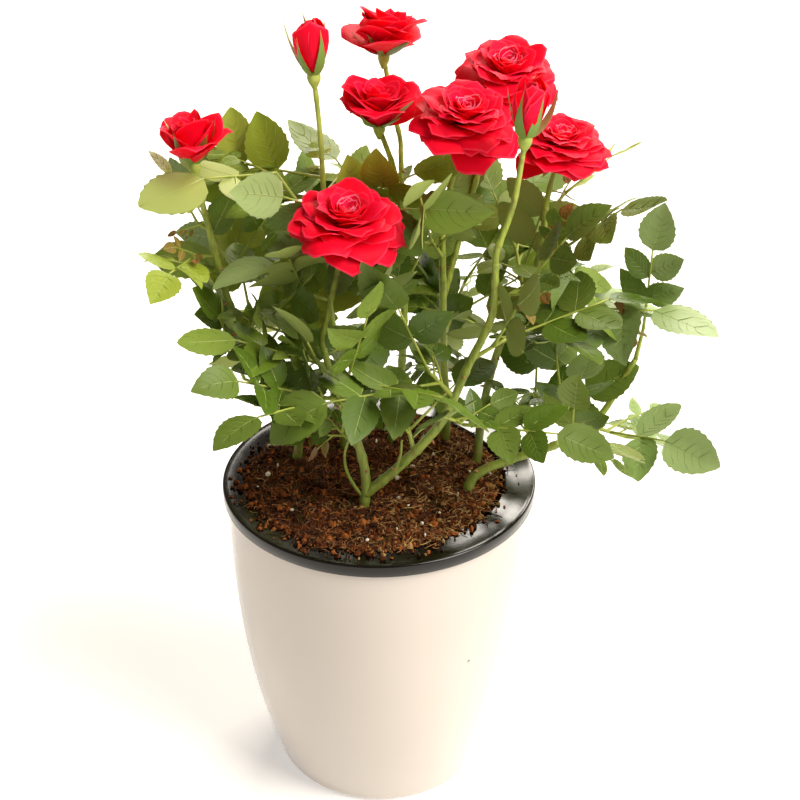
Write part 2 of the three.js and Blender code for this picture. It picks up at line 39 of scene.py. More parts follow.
# ------------------------------------------------------------------ pot
# A tapering pot of white moulded plastic, glossy outside and in. It stands on a flat foot with a
# rounded edge, and its rim carries the collar of the inner pot.

MM = 0.001
POT = {"top": 77.7, "base": 56.3, "foot_round": 4.5, "height": 166.0, "curve": 2.64, "wall": 2.6,
       "floor": 4.0}
COLLAR_TOP = 172.8
TURNED_SIDES = 160


def linear(code):
    """The linear colour of an sRGB hex value."""
    parts = [int(code[i:i + 2], 16) / 255 for i in (1, 3, 5)]
    return tuple(p / 12.92 if p <= 0.04045 else ((p + 0.055) / 1.055) ** 2.4 for p in parts) + (1.0,)


def add_node(material, kind, settings=None, inputs=None):
    """A shader node with its settings, and its inputs as values or as links from other nodes."""
    node = material.node_tree.nodes.new(kind)
    for key, value in (settings or {}).items():
        setattr(node, key, value)
    for key, value in (inputs or {}).items():
        if isinstance(value, bpy.types.NodeSocket):
            material.node_tree.links.new(value, node.inputs[key])
        else:
            node.inputs[key].default_value = value
    return node


def finish_of(name, colour, roughness, **more):
    """A principled material, and the shader node that its patterns are linked to."""
    material = bpy.data.materials.new(name)
    material.use_nodes = True
    shader = material.node_tree.nodes["Principled BSDF"]
    values = {"Base Color": linear(colour), "Roughness": roughness, **more}
    for key, value in values.items():
        shader.inputs[key.replace("_", " ")].default_value = value
    material.diffuse_color = linear(colour)
    return material, shader


def mesh_piece(name, points, faces, materials, stands_for=(), which=None, smooth=True, weld=False):
    """A piece from points in millimetres and arrays of faces, riding on the plant's one body. It
    replaces the CAD nodes that it stands for, and `which` gives each face's material."""
    mesh = bpy.data.meshes.new(name)
    rows = [face for block in faces for face in np.asarray(block).tolist()]
    mesh.from_pydata((np.asarray(points) * MM).tolist(), [], rows)
    for material in materials:
        mesh.materials.append(material)
    if which is not None:
        mesh.polygons.foreach_set("material_index", np.asarray(which, dtype=np.int32))
    mesh.polygons.foreach_set("use_smooth", np.full(len(rows), smooth))
    mesh.validate()
    piece = bpy.data.objects.new(name, mesh)
    bpy.context.collection.objects.link(piece)
    if weld:
        piece.modifiers.new("weld", "WELD").merge_threshold = 0.01 * MM
    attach(piece, "root")
    if stands_for:
        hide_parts(*stands_for)
    return piece


def creased(piece, degrees):
    """Shading breaks where two faces meet by more than this angle."""
    piece.data.set_sharp_from_angle(angle=np.radians(degrees))


def grid_faces(rows, columns, closed=False):
    """Quads of a grid of points, rows by columns. A closed grid joins its last column to its first."""
    row, column = np.mgrid[0:rows - 1, 0:columns if closed else columns - 1]
    right = (column + 1) % columns
    low, high = row * columns, (row + 1) * columns
    return np.stack([low + column, low + right, high + right, high + column], -1).reshape(-1, 4)


def turned(profile, sides):
    """Points of a profile of (radius, height) carried round the upright axis, a row for each."""
    profile = np.asarray(profile, dtype=float)
    angle = np.linspace(0, 2 * np.pi, sides, endpoint=False)
    radius, height = profile[:, :1], np.repeat(profile[:, 1:], sides, 1)
    return np.stack([radius * np.cos(angle), radius * np.sin(angle), height], -1).reshape(-1, 3)


def arc(centre, radius, start, end, steps=8):
    """Points of a round between two angles in degrees, as (radius, height)."""
    angle = np.radians(np.linspace(start, end, steps))
    return np.stack([centre[0] + radius * np.cos(angle), centre[1] + radius * np.sin(angle)], -1)


def pot_radius(height):
    """The wall leans in from its top by the power `curve` of the share of height below it."""
    return POT["top"] - (POT["top"] - POT["base"]) * (1 - height / COLLAR_TOP) ** POT["curve"]


def pot_profile():
    """Foot, its round, the wall up to the rim, the inside down to the floor, all from the axis."""
    low, high = POT["foot_round"], POT["height"]
    heights = np.linspace(low, high - 1, 48)
    outside = np.stack([pot_radius(heights), heights], -1)
    start = pot_radius(low)
    foot = np.vstack([[[0, 0], [start - low - 1, 0]], arc((start - low, low), low, -90, -8)])
    rim = arc((pot_radius(high) - POT["wall"] / 2, high - 1), POT["wall"] / 2, 20, 160, 6)
    inner = np.linspace(high - 2, POT["floor"] + 6, 30)
    inside = np.stack([pot_radius(inner) - POT["wall"], inner], -1)
    floor = [[start - POT["wall"] - 6, POT["floor"]], [0, POT["floor"]]]
    return np.vstack([foot, outside, rim, inside, floor])


def moulded_white():
    """White ABS, moulded and polished: a warm white whose gloss dulls in patches, with a few specks."""
    material, shader = finish_of("abs_moulded_white", "#CEC6BE", 0.2, Specular_IOR_Level=0.45,
                                 Coat_Weight=0.25)
    place = add_node(material, "ShaderNodeTexCoord")
    cloud = add_node(material, "ShaderNodeTexNoise", inputs={
        "Vector": place.outputs["Object"], "Scale": 1 / (60 * MM), "Detail": 3.0})
    tone = add_node(material, "ShaderNodeMix", {"data_type": "RGBA"}, {
        0: cloud.outputs["Fac"], 6: linear("#D0C8C0"), 7: linear("#CAC1B8")})
    specks = add_node(material, "ShaderNodeTexNoise", inputs={
        "Vector": place.outputs["Object"], "Scale": 1 / (6 * MM), "Detail": 1.0})
    speck = add_node(material, "ShaderNodeMapRange", inputs={
        "Value": specks.outputs["Fac"], "From Min": 0.8, "From Max": 0.83})
    dirt = add_node(material, "ShaderNodeMix", {"data_type": "RGBA"}, {
        0: speck.outputs["Result"], 6: tone.outputs[2], 7: linear("#7E6A55")})
    material.node_tree.links.new(dirt.outputs[2], shader.inputs["Base Color"])
    scuff = add_node(material, "ShaderNodeTexNoise", inputs={
        "Vector": place.outputs["Object"], "Scale": 1 / (14 * MM), "Detail": 5.0})
    dull = add_node(material, "ShaderNodeMapRange", inputs={
        "Value": scuff.outputs["Fac"], "To Min": 0.16, "To Max": 0.27})
    material.node_tree.links.new(dull.outputs["Result"], shader.inputs["Roughness"])
    return material


def turned_piece(name, profile, material, node, crease):
    """A piece turned from its profile that stands for a CAD node, closed where it meets the axis."""
    faces = grid_faces(len(profile), TURNED_SIDES, closed=True)
    points = turned(profile, TURNED_SIDES)
    creased(mesh_piece(name, points, [faces], [material], [node], weld=True), crease)


turned_piece("pot_wall", pot_profile(), moulded_white(), "pot", 50)

# ------------------------------------------------------------------ inner pot
# The dark pot that hangs in the white one: a wide collar with a rounded lip lies on the rim, its
# inner edge carries moulded pegs, and the basket below it holds the growing medium.

COLLAR = {"outer": 80.0, "seat": 166.3, "inner": 64.0, "lip": 61.5, "drop": 3.5, "round": 1.1}
BASKET = {"neck": 62.0, "neck_height": 158.0, "base": 47.0, "base_height": 62.0, "wall": 1.8}


def inner_pot_profile():
    """The basket's outside, the collar's underside, lip and top, and the basket's inside."""
    outer, seat, lip_round = COLLAR["outer"], COLLAR["seat"], COLLAR["round"]
    neck, base, wall = BASKET["neck"], BASKET["base"], BASKET["wall"]
    under = [[0, BASKET["base_height"]], [base, BASKET["base_height"]], [neck, BASKET["neck_height"]],
             [neck + 2, COLLAR_TOP - COLLAR["drop"] - wall], [outer - 6, seat], [outer - 0.5, seat]]
    lip = arc((outer - lip_round, COLLAR_TOP - lip_round), lip_round, 0, 90, 7)
    top = [[outer - 3, COLLAR_TOP - 0.35], [outer - 9, COLLAR_TOP - 0.6],
           [COLLAR["inner"] + 1.2, COLLAR_TOP - 0.6]]
    edge = arc((COLLAR["inner"] + 0.9, COLLAR_TOP - 1.5), 0.9, 90, 170, 4)
    inside = [[COLLAR["lip"], COLLAR_TOP - COLLAR["drop"]], [neck - wall, BASKET["neck_height"]],
              [base - wall, BASKET["base_height"] + wall], [0, BASKET["base_height"] + wall]]
    return np.vstack([under, [[outer, seat + 0.6]], lip, top, edge, inside])


def dusty_black():
    """Black polypropylene, moulded smooth: dark and glossy, with dry dust that greys it in patches."""
    material, shader = finish_of("pp_moulded_black", "#17130F", 0.16, Specular_IOR_Level=0.4)
    place = add_node(material, "ShaderNodeTexCoord")
    dust = add_node(material, "ShaderNodeTexNoise", inputs={
        "Vector": place.outputs["Object"], "Scale": 1 / (24 * MM), "Detail": 6.0, "Roughness": 0.65})
    share = add_node(material, "ShaderNodeMapRange", inputs={
        "Value": dust.outputs["Fac"], "From Min": 0.5, "From Max": 0.85, "To Max": 0.16})
    tone = add_node(material, "ShaderNodeMix", {"data_type": "RGBA"}, {
        0: share.outputs["Result"], 6: linear("#0C0805"), 7: linear("#4A4036")})
    material.node_tree.links.new(tone.outputs[2], shader.inputs["Base Color"])
    dull = add_node(material, "ShaderNodeMapRange", inputs={
        "Value": dust.outputs["Fac"], "From Min": 0.3, "From Max": 0.8, "To Min": 0.08, "To Max": 0.26})
    material.node_tree.links.new(dull.outputs["Result"], shader.inputs["Roughness"])
    return material


black = dusty_black()
turned_piece("inner_pot_collar", inner_pot_profile(), black, "inner_pot", 40)

# Pegs are moulded on the collar's inner edge every 18 degrees, each with a fine rib that runs
# outwards across the collar.

PEG = {"count": 20, "first": 3.8, "radius": 65.0, "size": (1.7, 1.1, 0.9), "rib": (7.0, 0.3, 0.35)}


def box_corners(size):
    """The eight corners of a box of that size, centred in x and y and standing on z = 0."""
    square = [[-1, -1], [1, -1], [1, 1], [-1, 1]]
    signs = np.array([[*corner, level] for level in (0, 1) for corner in square])
    return signs * np.array([size[0] / 2, size[1] / 2, size[2]])


BOX_FACES = np.array([[3, 2, 1, 0], [4, 5, 6, 7], [0, 1, 5, 4], [1, 2, 6, 5], [2, 3, 7, 6], [3, 0, 4, 7]])


def ring_of(corners, radius, height, angles):
    """Copies of the corners, moved out by the radius and turned about the axis by each angle."""
    cos, sin = np.cos(angles)[:, None], np.sin(angles)[:, None]
    x, y, z = corners[:, 0] + radius, corners[:, 1], corners[:, 2] + height
    return np.stack(np.broadcast_arrays(cos * x - sin * y, sin * x + cos * y, z), -1)


angles = np.radians(PEG["first"] + 360 / PEG["count"] * np.arange(PEG["count"]))
peg = ring_of(box_corners(PEG["size"]), PEG["radius"], COLLAR_TOP - 0.8, angles)
rib = ring_of(box_corners(PEG["rib"]), PEG["radius"] + PEG["rib"][0] / 2, COLLAR_TOP - 0.75, angles)
points = np.concatenate([peg, rib]).reshape(-1, 3)
faces = (BOX_FACES[None] + 8 * np.arange(2 * PEG["count"])[:, None, None]).reshape(-1, 4)
mesh_piece("collar_pegs", points, [faces], [black], smooth=False)

# ------------------------------------------------------------------ growing medium
# Coir mixed with a little perlite, heaped in the inner pot and spilled over the collar's inner edge
# at the left and the front: a lumpy mound, crumbs, dry fibres and white grains.

MOUND = {"edge": 61.5, "spill": 5.0, "spill_side": 200.0, "crown": 5.0, "hump": 1.6, "lump": 2.6,
         "clod": 1.2, "grit": 0.9, "heap": 4.0}
LATTICE = 64


def value_noise(x, y, size, seed):
    """Random numbers at lattice points `size` apart, blended by smoothsteps between them."""
    table = np.random.default_rng(seed).uniform(-1, 1, (LATTICE, LATTICE))
    i, j = np.floor(x / size).astype(int), np.floor(y / size).astype(int)
    u, v = x / size - i, y / size - j
    u, v = u * u * (3 - 2 * u), v * v * (3 - 2 * v)
    pick = lambda a, b: table[a % LATTICE, b % LATTICE]
    low = pick(i, j) * (1 - u) + pick(i + 1, j) * u
    high = pick(i, j + 1) * (1 - u) + pick(i + 1, j + 1) * u
    return low * (1 - v) + high * v


def mound_edge(angle):
    """The mound's radius at an angle: the medium's edge, further out on the side where it spills."""
    towards = 0.5 + 0.5 * np.cos(angle - np.radians(MOUND["spill_side"]))
    wave = value_noise(np.cos(angle) * 60, np.sin(angle) * 60, 13, 3)
    return MOUND["edge"] + MOUND["spill"] * towards ** 1.5 + 1.3 * wave * towards


def mound_height(x, y):
    """A crown that falls to the edge, soft humps, a heap at the left, and noise at three sizes:
    lumps of 9 mm, clods of half that and grit of 2 mm."""
    angle, radius = np.arctan2(y, x), np.hypot(x, y)
    share = np.minimum(1, radius / mound_edge(angle))
    humps = np.sin(x / 11 + 1.3) * np.cos(y / 9 - 0.4) + 0.6 * np.sin((x + y) / 7)
    fine = (MOUND["lump"] * value_noise(x, y, 9, 1) + MOUND["clod"] * value_noise(x, y, 4.5, 2)
            + MOUND["grit"] * value_noise(x, y, 1.9, 4))
    left = np.exp(-((x + 48) ** 2 + (y - 12) ** 2) / 500)
    crown = MOUND["crown"] * (1 - share ** 2.4)
    height = COLLAR_TOP - 0.6 + crown + MOUND["hump"] * humps * (1 - share ** 4)
    return height + fine * (1 - share ** 8) * 0.8 + MOUND["heap"] * left * (1 - share ** 6)


def mound():
    """Rings from the mound's middle to its edge, then under its spill and down the basket's inside."""
    rings, sides = 76, 220
    angle = np.linspace(0, 2 * np.pi, sides, endpoint=False)
    share = np.linspace(1, 0, rings)[:, None] ** 0.9
    x, y = share * mound_edge(angle) * np.cos(angle), share * mound_edge(angle) * np.sin(angle)
    top = np.stack([x, y, mound_height(x, y)], -1)
    under = [(0.0, 64.5), (44.2, 64.5), (59.2, 158.0), (60.5, 169.3)]
    points = np.concatenate([turned(under, sides), top.reshape(-1, 3)])
    return points, grid_faces(rings + len(under), sides, closed=True)


def damp_coir():
    """Shredded coir, damp: brown fibres from near black to rust, with a film of moss in places."""
    material, shader = finish_of("coir_damp", "#4A2A14", 0.95, Specular_IOR_Level=0.15)
    place = add_node(material, "ShaderNodeTexCoord")
    strands = add_node(material, "ShaderNodeTexNoise", inputs={
        "Vector": place.outputs["Object"], "Scale": 1 / (1.6 * MM), "Detail": 5.0, "Distortion": 2.2})
    patches = add_node(material, "ShaderNodeTexNoise", inputs={
        "Vector": place.outputs["Object"], "Scale": 1 / (18 * MM), "Detail": 3.0})
    tone = add_node(material, "ShaderNodeValToRGB", inputs={"Fac": strands.outputs["Fac"]})
    ramp = tone.color_ramp
    ramp.elements[0].position, ramp.elements[0].color = 0.35, linear("#160A04")
    ramp.elements[1].position, ramp.elements[1].color = 0.66, linear("#93592C")
    ramp.elements.new(0.5).color = linear("#4A2512")
    shade = add_node(material, "ShaderNodeMix", {"data_type": "RGBA", "blend_type": "MULTIPLY"}, {
        0: 0.7, 6: tone.outputs["Color"], 7: patches.outputs["Fac"]})
    warm = add_node(material, "ShaderNodeMix", {"data_type": "RGBA", "blend_type": "ADD"}, {
        0: 0.25, 6: shade.outputs[2], 7: linear("#3A1D0A")})
    wet = add_node(material, "ShaderNodeTexNoise", inputs={
        "Vector": place.outputs["Object"], "Scale": 1 / (11 * MM), "Detail": 4.0})
    moss = add_node(material, "ShaderNodeMapRange", inputs={
        "Value": wet.outputs["Fac"], "From Min": 0.53, "From Max": 0.64, "To Max": 0.6})
    mossy = add_node(material, "ShaderNodeMix", {"data_type": "RGBA"}, {
        0: moss.outputs["Result"], 6: warm.outputs[2], 7: linear("#3E3C14")})
    material.node_tree.links.new(mossy.outputs[2], shader.inputs["Base Color"])
    relief = add_node(material, "ShaderNodeBump", inputs={
        "Height": strands.outputs["Fac"], "Distance": 1.2 * MM, "Strength": 0.9})
    material.node_tree.links.new(relief.outputs["Normal"], shader.inputs["Normal"])
    return material


points, faces = mound()
mesh_piece("medium_mound", points, [faces], [damp_coir()], ["growing_medium"], weld=True)


def mottled(name, dark, light, roughness, size, **more):
    """A finish whose colour drifts between two tones in patches of about `size` millimetres."""
    material, shader = finish_of(name, light, roughness, **more)
    place = add_node(material, "ShaderNodeTexCoord")
    cloud = add_node(material, "ShaderNodeTexNoise", inputs={
        "Vector": place.outputs["Object"], "Scale": 1 / (size * MM), "Detail": 3.0})
    share = add_node(material, "ShaderNodeMapRange", inputs={
        "Value": cloud.outputs["Fac"], "From Min": 0.35, "From Max": 0.65})
    tone = add_node(material, "ShaderNodeMix", {"data_type": "RGBA"}, {
        0: share.outputs["Result"], 6: linear(dark), 7: linear(light)})
    material.node_tree.links.new(tone.outputs[2], shader.inputs["Base Color"])
    return material


# Shredded coir, dry on top: matt crumbs from near black to tan, and paler strands with a faint sheen.
CRUMB_COLOURS = {"dark": ("#1E0E06", "#3A1D0D", 0.95), "brown": ("#4E2813", "#6E3C1C", 0.95),
                 "rust": ("#7E4520", "#A2602E", 0.9), "tan": ("#8C6A3C", "#B08A56", 0.9)}
STRAND_COLOURS = {"dark": ("#2A1409", "#4A2812", 0.85), "rust": ("#7A4119", "#96572A", 0.85),
                  "tan": ("#8A6236", "#A87C48", 0.8), "straw": ("#B08E58", "#C9A86E", 0.8)}
coir_tones = [mottled(f"coir_crumb_{name}", *colours, 3, Specular_IOR_Level=0.1)
              for name, colours in CRUMB_COLOURS.items()]
GOLDEN = (1 + 5 ** 0.5) / 2
ICO = np.array([[-1, GOLDEN, 0], [1, GOLDEN, 0], [-1, -GOLDEN, 0], [1, -GOLDEN, 0],
                [0, -1, GOLDEN], [0, 1, GOLDEN], [0, -1, -GOLDEN], [0, 1, -GOLDEN],
                [GOLDEN, 0, -1], [GOLDEN, 0, 1], [-GOLDEN, 0, -1], [-GOLDEN, 0, 1]])
ICO_FACES = np.array([[0, 11, 5], [0, 5, 1], [0, 1, 7], [0, 7, 10], [0, 10, 11], [1, 5, 9], [5, 11, 4],
                      [11, 10, 2], [10, 7, 6], [7, 1, 8], [3, 9, 4], [3, 4, 2], [3, 2, 6], [3, 6, 8],
                      [3, 8, 9], [4, 9, 5], [2, 4, 11], [6, 2, 10], [8, 6, 7], [9, 8, 1]])


def grains(centres, sizes, random, flatness):
    """Twenty-sided grains at the centres, stretched, each corner moved by up to the flatness."""
    bumps = 1 + random.uniform(-flatness, flatness, (len(centres), 12, 1))
    stretch = random.uniform(0.45, 1.5, (len(centres), 1, 3))
    points = centres[:, None] + ICO / np.linalg.norm(ICO[0]) * sizes[:, None, None] * bumps * stretch
    faces = ICO_FACES[None] + 12 * np.arange(len(centres))[:, None, None]
    return points.reshape(-1, 3), faces.reshape(-1, 3)


def scatter_on_mound(count, random, edge=1.0):
    """Places on the mound's surface, a little denser towards its edge."""
    angle, share = random.uniform(0, 2 * np.pi, count), random.uniform(0, 1, count) ** 0.42 * edge
    radius = share * mound_edge(angle)
    x, y = radius * np.cos(angle), radius * np.sin(angle)
    return np.stack([x, y, mound_height(x, y)], -1)


def scatter_on_collar(count, middle, spread, random):
    """Places on the collar round an angle, most of them close to the mound's edge."""
    angle = np.radians(random.normal(middle, spread, count))
    out = np.minimum(random.exponential(2.6, count), 10)
    radius = np.minimum(mound_edge(angle) + out, COLLAR["outer"] - 2.5)
    return np.stack([radius * np.cos(angle), radius * np.sin(angle), np.full(count, COLLAR_TOP - 0.1)], -1)


# Spills on the collar: how many crumbs, round which angle, and how far they spread from it.
SPILLS = ((420, 250, 34), (120, 185, 16), (40, 330, 26))
CRUMB = {"count": 3600, "least": 0.26, "most": 1.6, "flatness": 0.38}
random = np.random.default_rng(11)
spots = np.vstack([scatter_on_mound(CRUMB["count"], random)]
                  + [scatter_on_collar(*spill, random) for spill in SPILLS])
sizes = np.minimum(random.gamma(2.2, 0.24, len(spots)) + CRUMB["least"], CRUMB["most"])
points, faces = grains(spots, sizes, random, CRUMB["flatness"])
# Crumbs take paler tones towards the right.
pale = random.uniform(0, 1, len(spots)) + 0.1 * np.tanh(spots[:, 0] / 25)
tone = np.repeat(np.digitize(pale, [0.3, 0.66, 0.9]), 20)
mesh_piece("coir_crumbs", points, [faces], coir_tones, which=tone, smooth=False)


SLANT = np.array([0.31, 0.53, 0.79])  # a direction that no path follows


def unit(v):
    """v divided by its length."""
    return v / np.linalg.norm(v, axis=-1, keepdims=True)


def tubes(paths, radii, sides):
    """Tubes along many paths at once: rings square to each path, with a flat face at both ends."""
    count, steps = paths.shape[:2]
    along = unit(np.gradient(paths, axis=1))
    across = unit(np.cross(along, SLANT))
    other = np.cross(along, across)
    angle = np.linspace(0, 2 * np.pi, sides, endpoint=False)[:, None]
    circle = across[..., None, :] * np.cos(angle) + other[..., None, :] * np.sin(angle)
    points = (paths[:, :, None] + circle * radii[..., None, None]).reshape(-1, 3)
    first = steps * sides * np.arange(count)[:, None]
    quads = grid_faces(steps, sides, closed=True)[None] + first[..., None]
    start, end = first + np.arange(sides)[::-1], first + np.arange(sides) + (steps - 1) * sides
    return points, [quads.reshape(-1, 4), start, end]


def fibres(count, random, spots):
    """Dry strands that lie across the mound, each bent a little and lifted at one end."""
    heading, rise = random.uniform(0, 2 * np.pi, count), random.normal(0.12, 0.22, count)
    length = random.gamma(3.0, 1.5, count) + 1.6
    s = np.linspace(-0.5, 0.5, 6)
    bend = random.normal(0, 0.7, count)
    turn = heading[:, None] + bend[:, None] * s * 2
    step = length[:, None] * s
    shift = np.stack([step * np.cos(turn), step * np.sin(turn), step * rise[:, None] + 0.6], -1)
    paths = spots[:, None] + shift
    radii = random.uniform(0.1, 0.22, count)[:, None] * np.ones(6)
    return tubes(paths, radii, 3)


FIBRE_COUNT, FIBRE_SPILL = 2500, (150, 255, 32)
random = np.random.default_rng(12)
spots = np.vstack([scatter_on_mound(FIBRE_COUNT, random), scatter_on_collar(*FIBRE_SPILL, random)])
points, faces = fibres(len(spots), random, spots)
strand_tones = [mottled(f"coir_strand_{name}", *colours, 4) for name, colours in STRAND_COLOURS.items()]
# Strands take paler tones towards the right.
pale = random.uniform(0, 1, len(spots)) + 0.16 * np.tanh(spots[:, 0] / 20)
tone = np.digitize(pale, [0.4, 0.7, 0.92])
tone = np.concatenate([np.repeat(tone, 15), tone, tone])
mesh_piece("coir_fibres", points, faces, strand_tones, which=tone, smooth=False)

# The perlite is a few white grains that lie on the mound.
# Expanded glass: chalk white and matt.
PERLITE_COUNT = 26
random = np.random.default_rng(13)
spots = scatter_on_mound(PERLITE_COUNT, random, 0.97) + [0, 0, 0.9]
points, faces = grains(spots, random.uniform(0.7, 1.5, PERLITE_COUNT), random, 0.2)
perlite = mottled("perlite", "#D8CCBA", "#F4EBDD", 0.85, 1)
mesh_piece("perlite_grains", points, [faces], [perlite], smooth=False)

# ------------------------------------------------------------------ canes
# Green rose canes that come up through the medium, three of them forked. Each tapers, swells a
# little where leaves have grown, and carries a few short prickles.

UP = np.array([0.0, 0.0, 1.0])
CLEARANCE = 0.3  # between a twig and its cane


def cane(foot, tip, path, grows_from=None):
    """A cane's radius at its foot and tip, the points that it passes, and the cane it forks from."""
    return {"foot": foot, "tip": tip, "path": np.array(path, dtype=float), "from": grows_from}


CANES = {
    "cane_front": cane(2.6, 1.5, [[-8, -34, 172], [-6, -32, 190], [-10, -30, 211], [-20, -27, 238],
                                  [-25, -25, 258]]),
    "cane_arching": cane(2.5, 1.6, [[-7, -33, 182], [11, -33, 199], [30, -32, 222], [43, -31, 254],
                                    [53, -30, 279], [54, -28, 304]], "cane_front"),
    "cane_left": cane(2.4, 1.5, [[-45, 7, 172], [-41, 6, 187], [-42, 6, 204], [-58, 5, 231],
                                 [-72, 3, 270], [-80, 1, 316]]),
    "cane_centre_left": cane(2.2, 1.3, [[-18, 20, 172], [-20, 18, 218], [-24, 16, 264], [-25, 13, 312]]),
    "cane_centre": cane(2.3, 1.5, [[5, 28, 172], [11, 24, 216], [13, 20, 264], [12, 15, 303]]),
    "cane_centre_fork": cane(1.4, 1.2, [[13, 19, 268], [12, 36, 300], [11, 48, 330]], "cane_centre"),
    "cane_back": cane(2.4, 1.6, [[34, 30, 172], [35, 28, 190], [33, 24, 226], [32, 20, 262], [31, 16, 298]]),
    "cane_back_fork": cane(1.5, 1.3, [[32, 20, 262], [42, 32, 298], [51, 40, 330]], "cane_back"),
    "cane_right": cane(2.6, 1.3, [[42, -21, 172], [48, -18, 183], [66, -15, 191], [86, -14, 198],
                                  [107, -10, 210], [126, -1, 240]]),
    "cane_high": cane(2.3, 1.5, [[50, 10, 172], [54, 19, 205], [63, 22, 242], [73, 23, 263],
                                 [79, 23, 286], [81, 24, 310]]),
}


def smooth_path(points, steps):
    """A centripetal Catmull-Rom curve through the points, by repeated blends of neighbours between
    knots set apart by the root of their distance, read off at even steps of its length."""
    points = np.asarray(points, dtype=float)
    padded = np.vstack([2 * points[0] - points[1], points, 2 * points[-1] - points[-2]])
    knots = np.concatenate([[0], np.cumsum(np.sqrt(np.linalg.norm(np.diff(padded, axis=0), axis=1)))])
    t = np.linspace(knots[1], knots[-2], 400)
    i = np.clip(np.searchsorted(knots, t, side="right") - 1, 1, len(points) - 1)
    p = [padded[i + o] for o in (-1, 0, 1, 2)]
    k = [knots[i + o][:, None] for o in (-1, 0, 1, 2)]
    t = t[:, None]
    mix = lambda a, b, ka, kb: ((kb - t) * a + (t - ka) * b) / (kb - ka)
    a = [mix(p[n], p[n + 1], k[n], k[n + 1]) for n in range(3)]
    b = [mix(a[0], a[1], k[0], k[2]), mix(a[1], a[2], k[1], k[3])]
    curve = mix(b[0], b[1], k[1], k[2])
    length = np.concatenate([[0], np.cumsum(np.linalg.norm(np.diff(curve, axis=0), axis=1))])
    even = np.linspace(0, length[-1], steps + 1)
    return np.stack([np.interp(even, length, curve[:, axis]) for axis in range(3)], -1)


def cane_at(name, height):
    """The place, direction and radius of a cane at a height, and whether that is past its tip."""
    one = CANES[name]
    line, heights = one["line"], one["line"][:, 2]
    i = int(np.clip(np.searchsorted(heights, height), 1, len(line) - 1))
    share = float(np.clip((height - heights[i - 1]) / (heights[i] - heights[i - 1]), 0, 1))
    radius = one["foot"] + (one["tip"] - one["foot"]) * (i - 1 + share) / (len(line) - 1)
    step = line[i] - line[i - 1]
    return line[i - 1] + step * share, unit(step), radius, height > heights[-1]


for one in CANES.values():
    start = one["path"].copy()
    if one["from"]:
        start[0] = cane_at(one["from"], start[0, 2])[0]
    else:
        start[0, 2] = COLLAR_TOP - 6
    one["line"] = smooth_path(start, 160)


LEAF_NODE = {"spacing": 24.0, "length": 1.5, "swelling": 0.16}


def limb(line, foot, tip, seed, sides=14, relief=0.045):
    """A round limb that tapers along the line. Its radius has a swelling at each leaf node, a fine
    lengthwise ridge and a shallow random relief."""
    length = np.concatenate([[0], np.cumsum(np.linalg.norm(np.diff(line, axis=0), axis=1))])
    steps = int(length[-1] / 1.3) + 4
    even = np.linspace(0, length[-1], steps)
    path = np.stack([np.interp(even, length, line[:, axis]) for axis in range(3)], -1)
    taper = foot + (tip - foot) * even / length[-1]
    points, faces = tubes(path[None], taper[None], sides)
    rings = points.reshape(steps, sides, 3)
    angle = np.linspace(0, 2 * np.pi, sides, endpoint=False)
    past_node = even % LEAF_NODE["spacing"] - LEAF_NODE["spacing"] / 2
    node = np.exp(-(past_node / LEAF_NODE["length"]) ** 2)[:, None] * LEAF_NODE["swelling"]
    ridge = 0.03 * np.sin(5 * angle)[None]
    rough = relief * value_noise(even[:, None] + 9 * seed, angle[None] * 4, 2.2, 20 + seed)
    swell = 1 + (node + ridge + rough) * np.minimum(1, taper / 1.4)[:, None]
    rings = path[:, None] + (rings - path[:, None]) * swell[..., None]
    return rings.reshape(-1, 3), faces


def gathered(parts):
    """Many pieces of mesh as one: their points, and their blocks of faces counted on."""
    points, faces, start = [], [], 0
    for own, blocks in parts:
        points.append(own)
        faces.extend(np.asarray(block) + start for block in blocks)
        start += len(own)
    return np.concatenate(points), faces


def green_cane():
    """Young rose wood: waxy yellow green with darker streaks along it and brown flecks."""
    material, shader = finish_of("rose_wood_green", "#7C943C", 0.45, Specular_IOR_Level=0.4)
    place = add_node(material, "ShaderNodeTexCoord")
    height = add_node(material, "ShaderNodeSeparateXYZ", inputs={"Vector": place.outputs["Object"]})
    low = add_node(material, "ShaderNodeMapRange", inputs={
        "Value": height.outputs["Z"], "From Min": 176 * MM, "From Max": 300 * MM})
    young = add_node(material, "ShaderNodeMix", {"data_type": "RGBA"}, {
        0: low.outputs["Result"], 6: linear("#7C8A34"), 7: linear("#A9B84C")})
    drawn = add_node(material, "ShaderNodeMapping", inputs={
        "Vector": place.outputs["Object"], "Scale": (1, 1, 0.12)})
    streaks = add_node(material, "ShaderNodeTexNoise", inputs={
        "Vector": drawn.outputs["Vector"], "Scale": 1 / (1.6 * MM), "Detail": 3.0})
    streak = add_node(material, "ShaderNodeMapRange", inputs={
        "Value": streaks.outputs["Fac"], "From Min": 0.42, "From Max": 0.62, "To Max": 0.55})
    tone = add_node(material, "ShaderNodeMix", {"data_type": "RGBA"}, {
        0: streak.outputs["Result"], 6: young.outputs[2], 7: linear("#5E742A")})
    flecks = add_node(material, "ShaderNodeTexNoise", inputs={
        "Vector": place.outputs["Object"], "Scale": 1 / (5 * MM), "Detail": 4.0})
    brown = add_node(material, "ShaderNodeMapRange", inputs={
        "Value": flecks.outputs["Fac"], "From Min": 0.55, "From Max": 0.7, "To Max": 0.55})
    mixed = add_node(material, "ShaderNodeMix", {"data_type": "RGBA"}, {
        0: brown.outputs["Result"], 6: tone.outputs[2], 7: linear("#7A6134")})
    material.node_tree.links.new(mixed.outputs[2], shader.inputs["Base Color"])
    relief = add_node(material, "ShaderNodeBump", inputs={
        "Height": flecks.outputs["Fac"], "Distance": 0.25 * MM, "Strength": 0.5})
    material.node_tree.links.new(relief.outputs["Normal"], shader.inputs["Normal"])
    return material


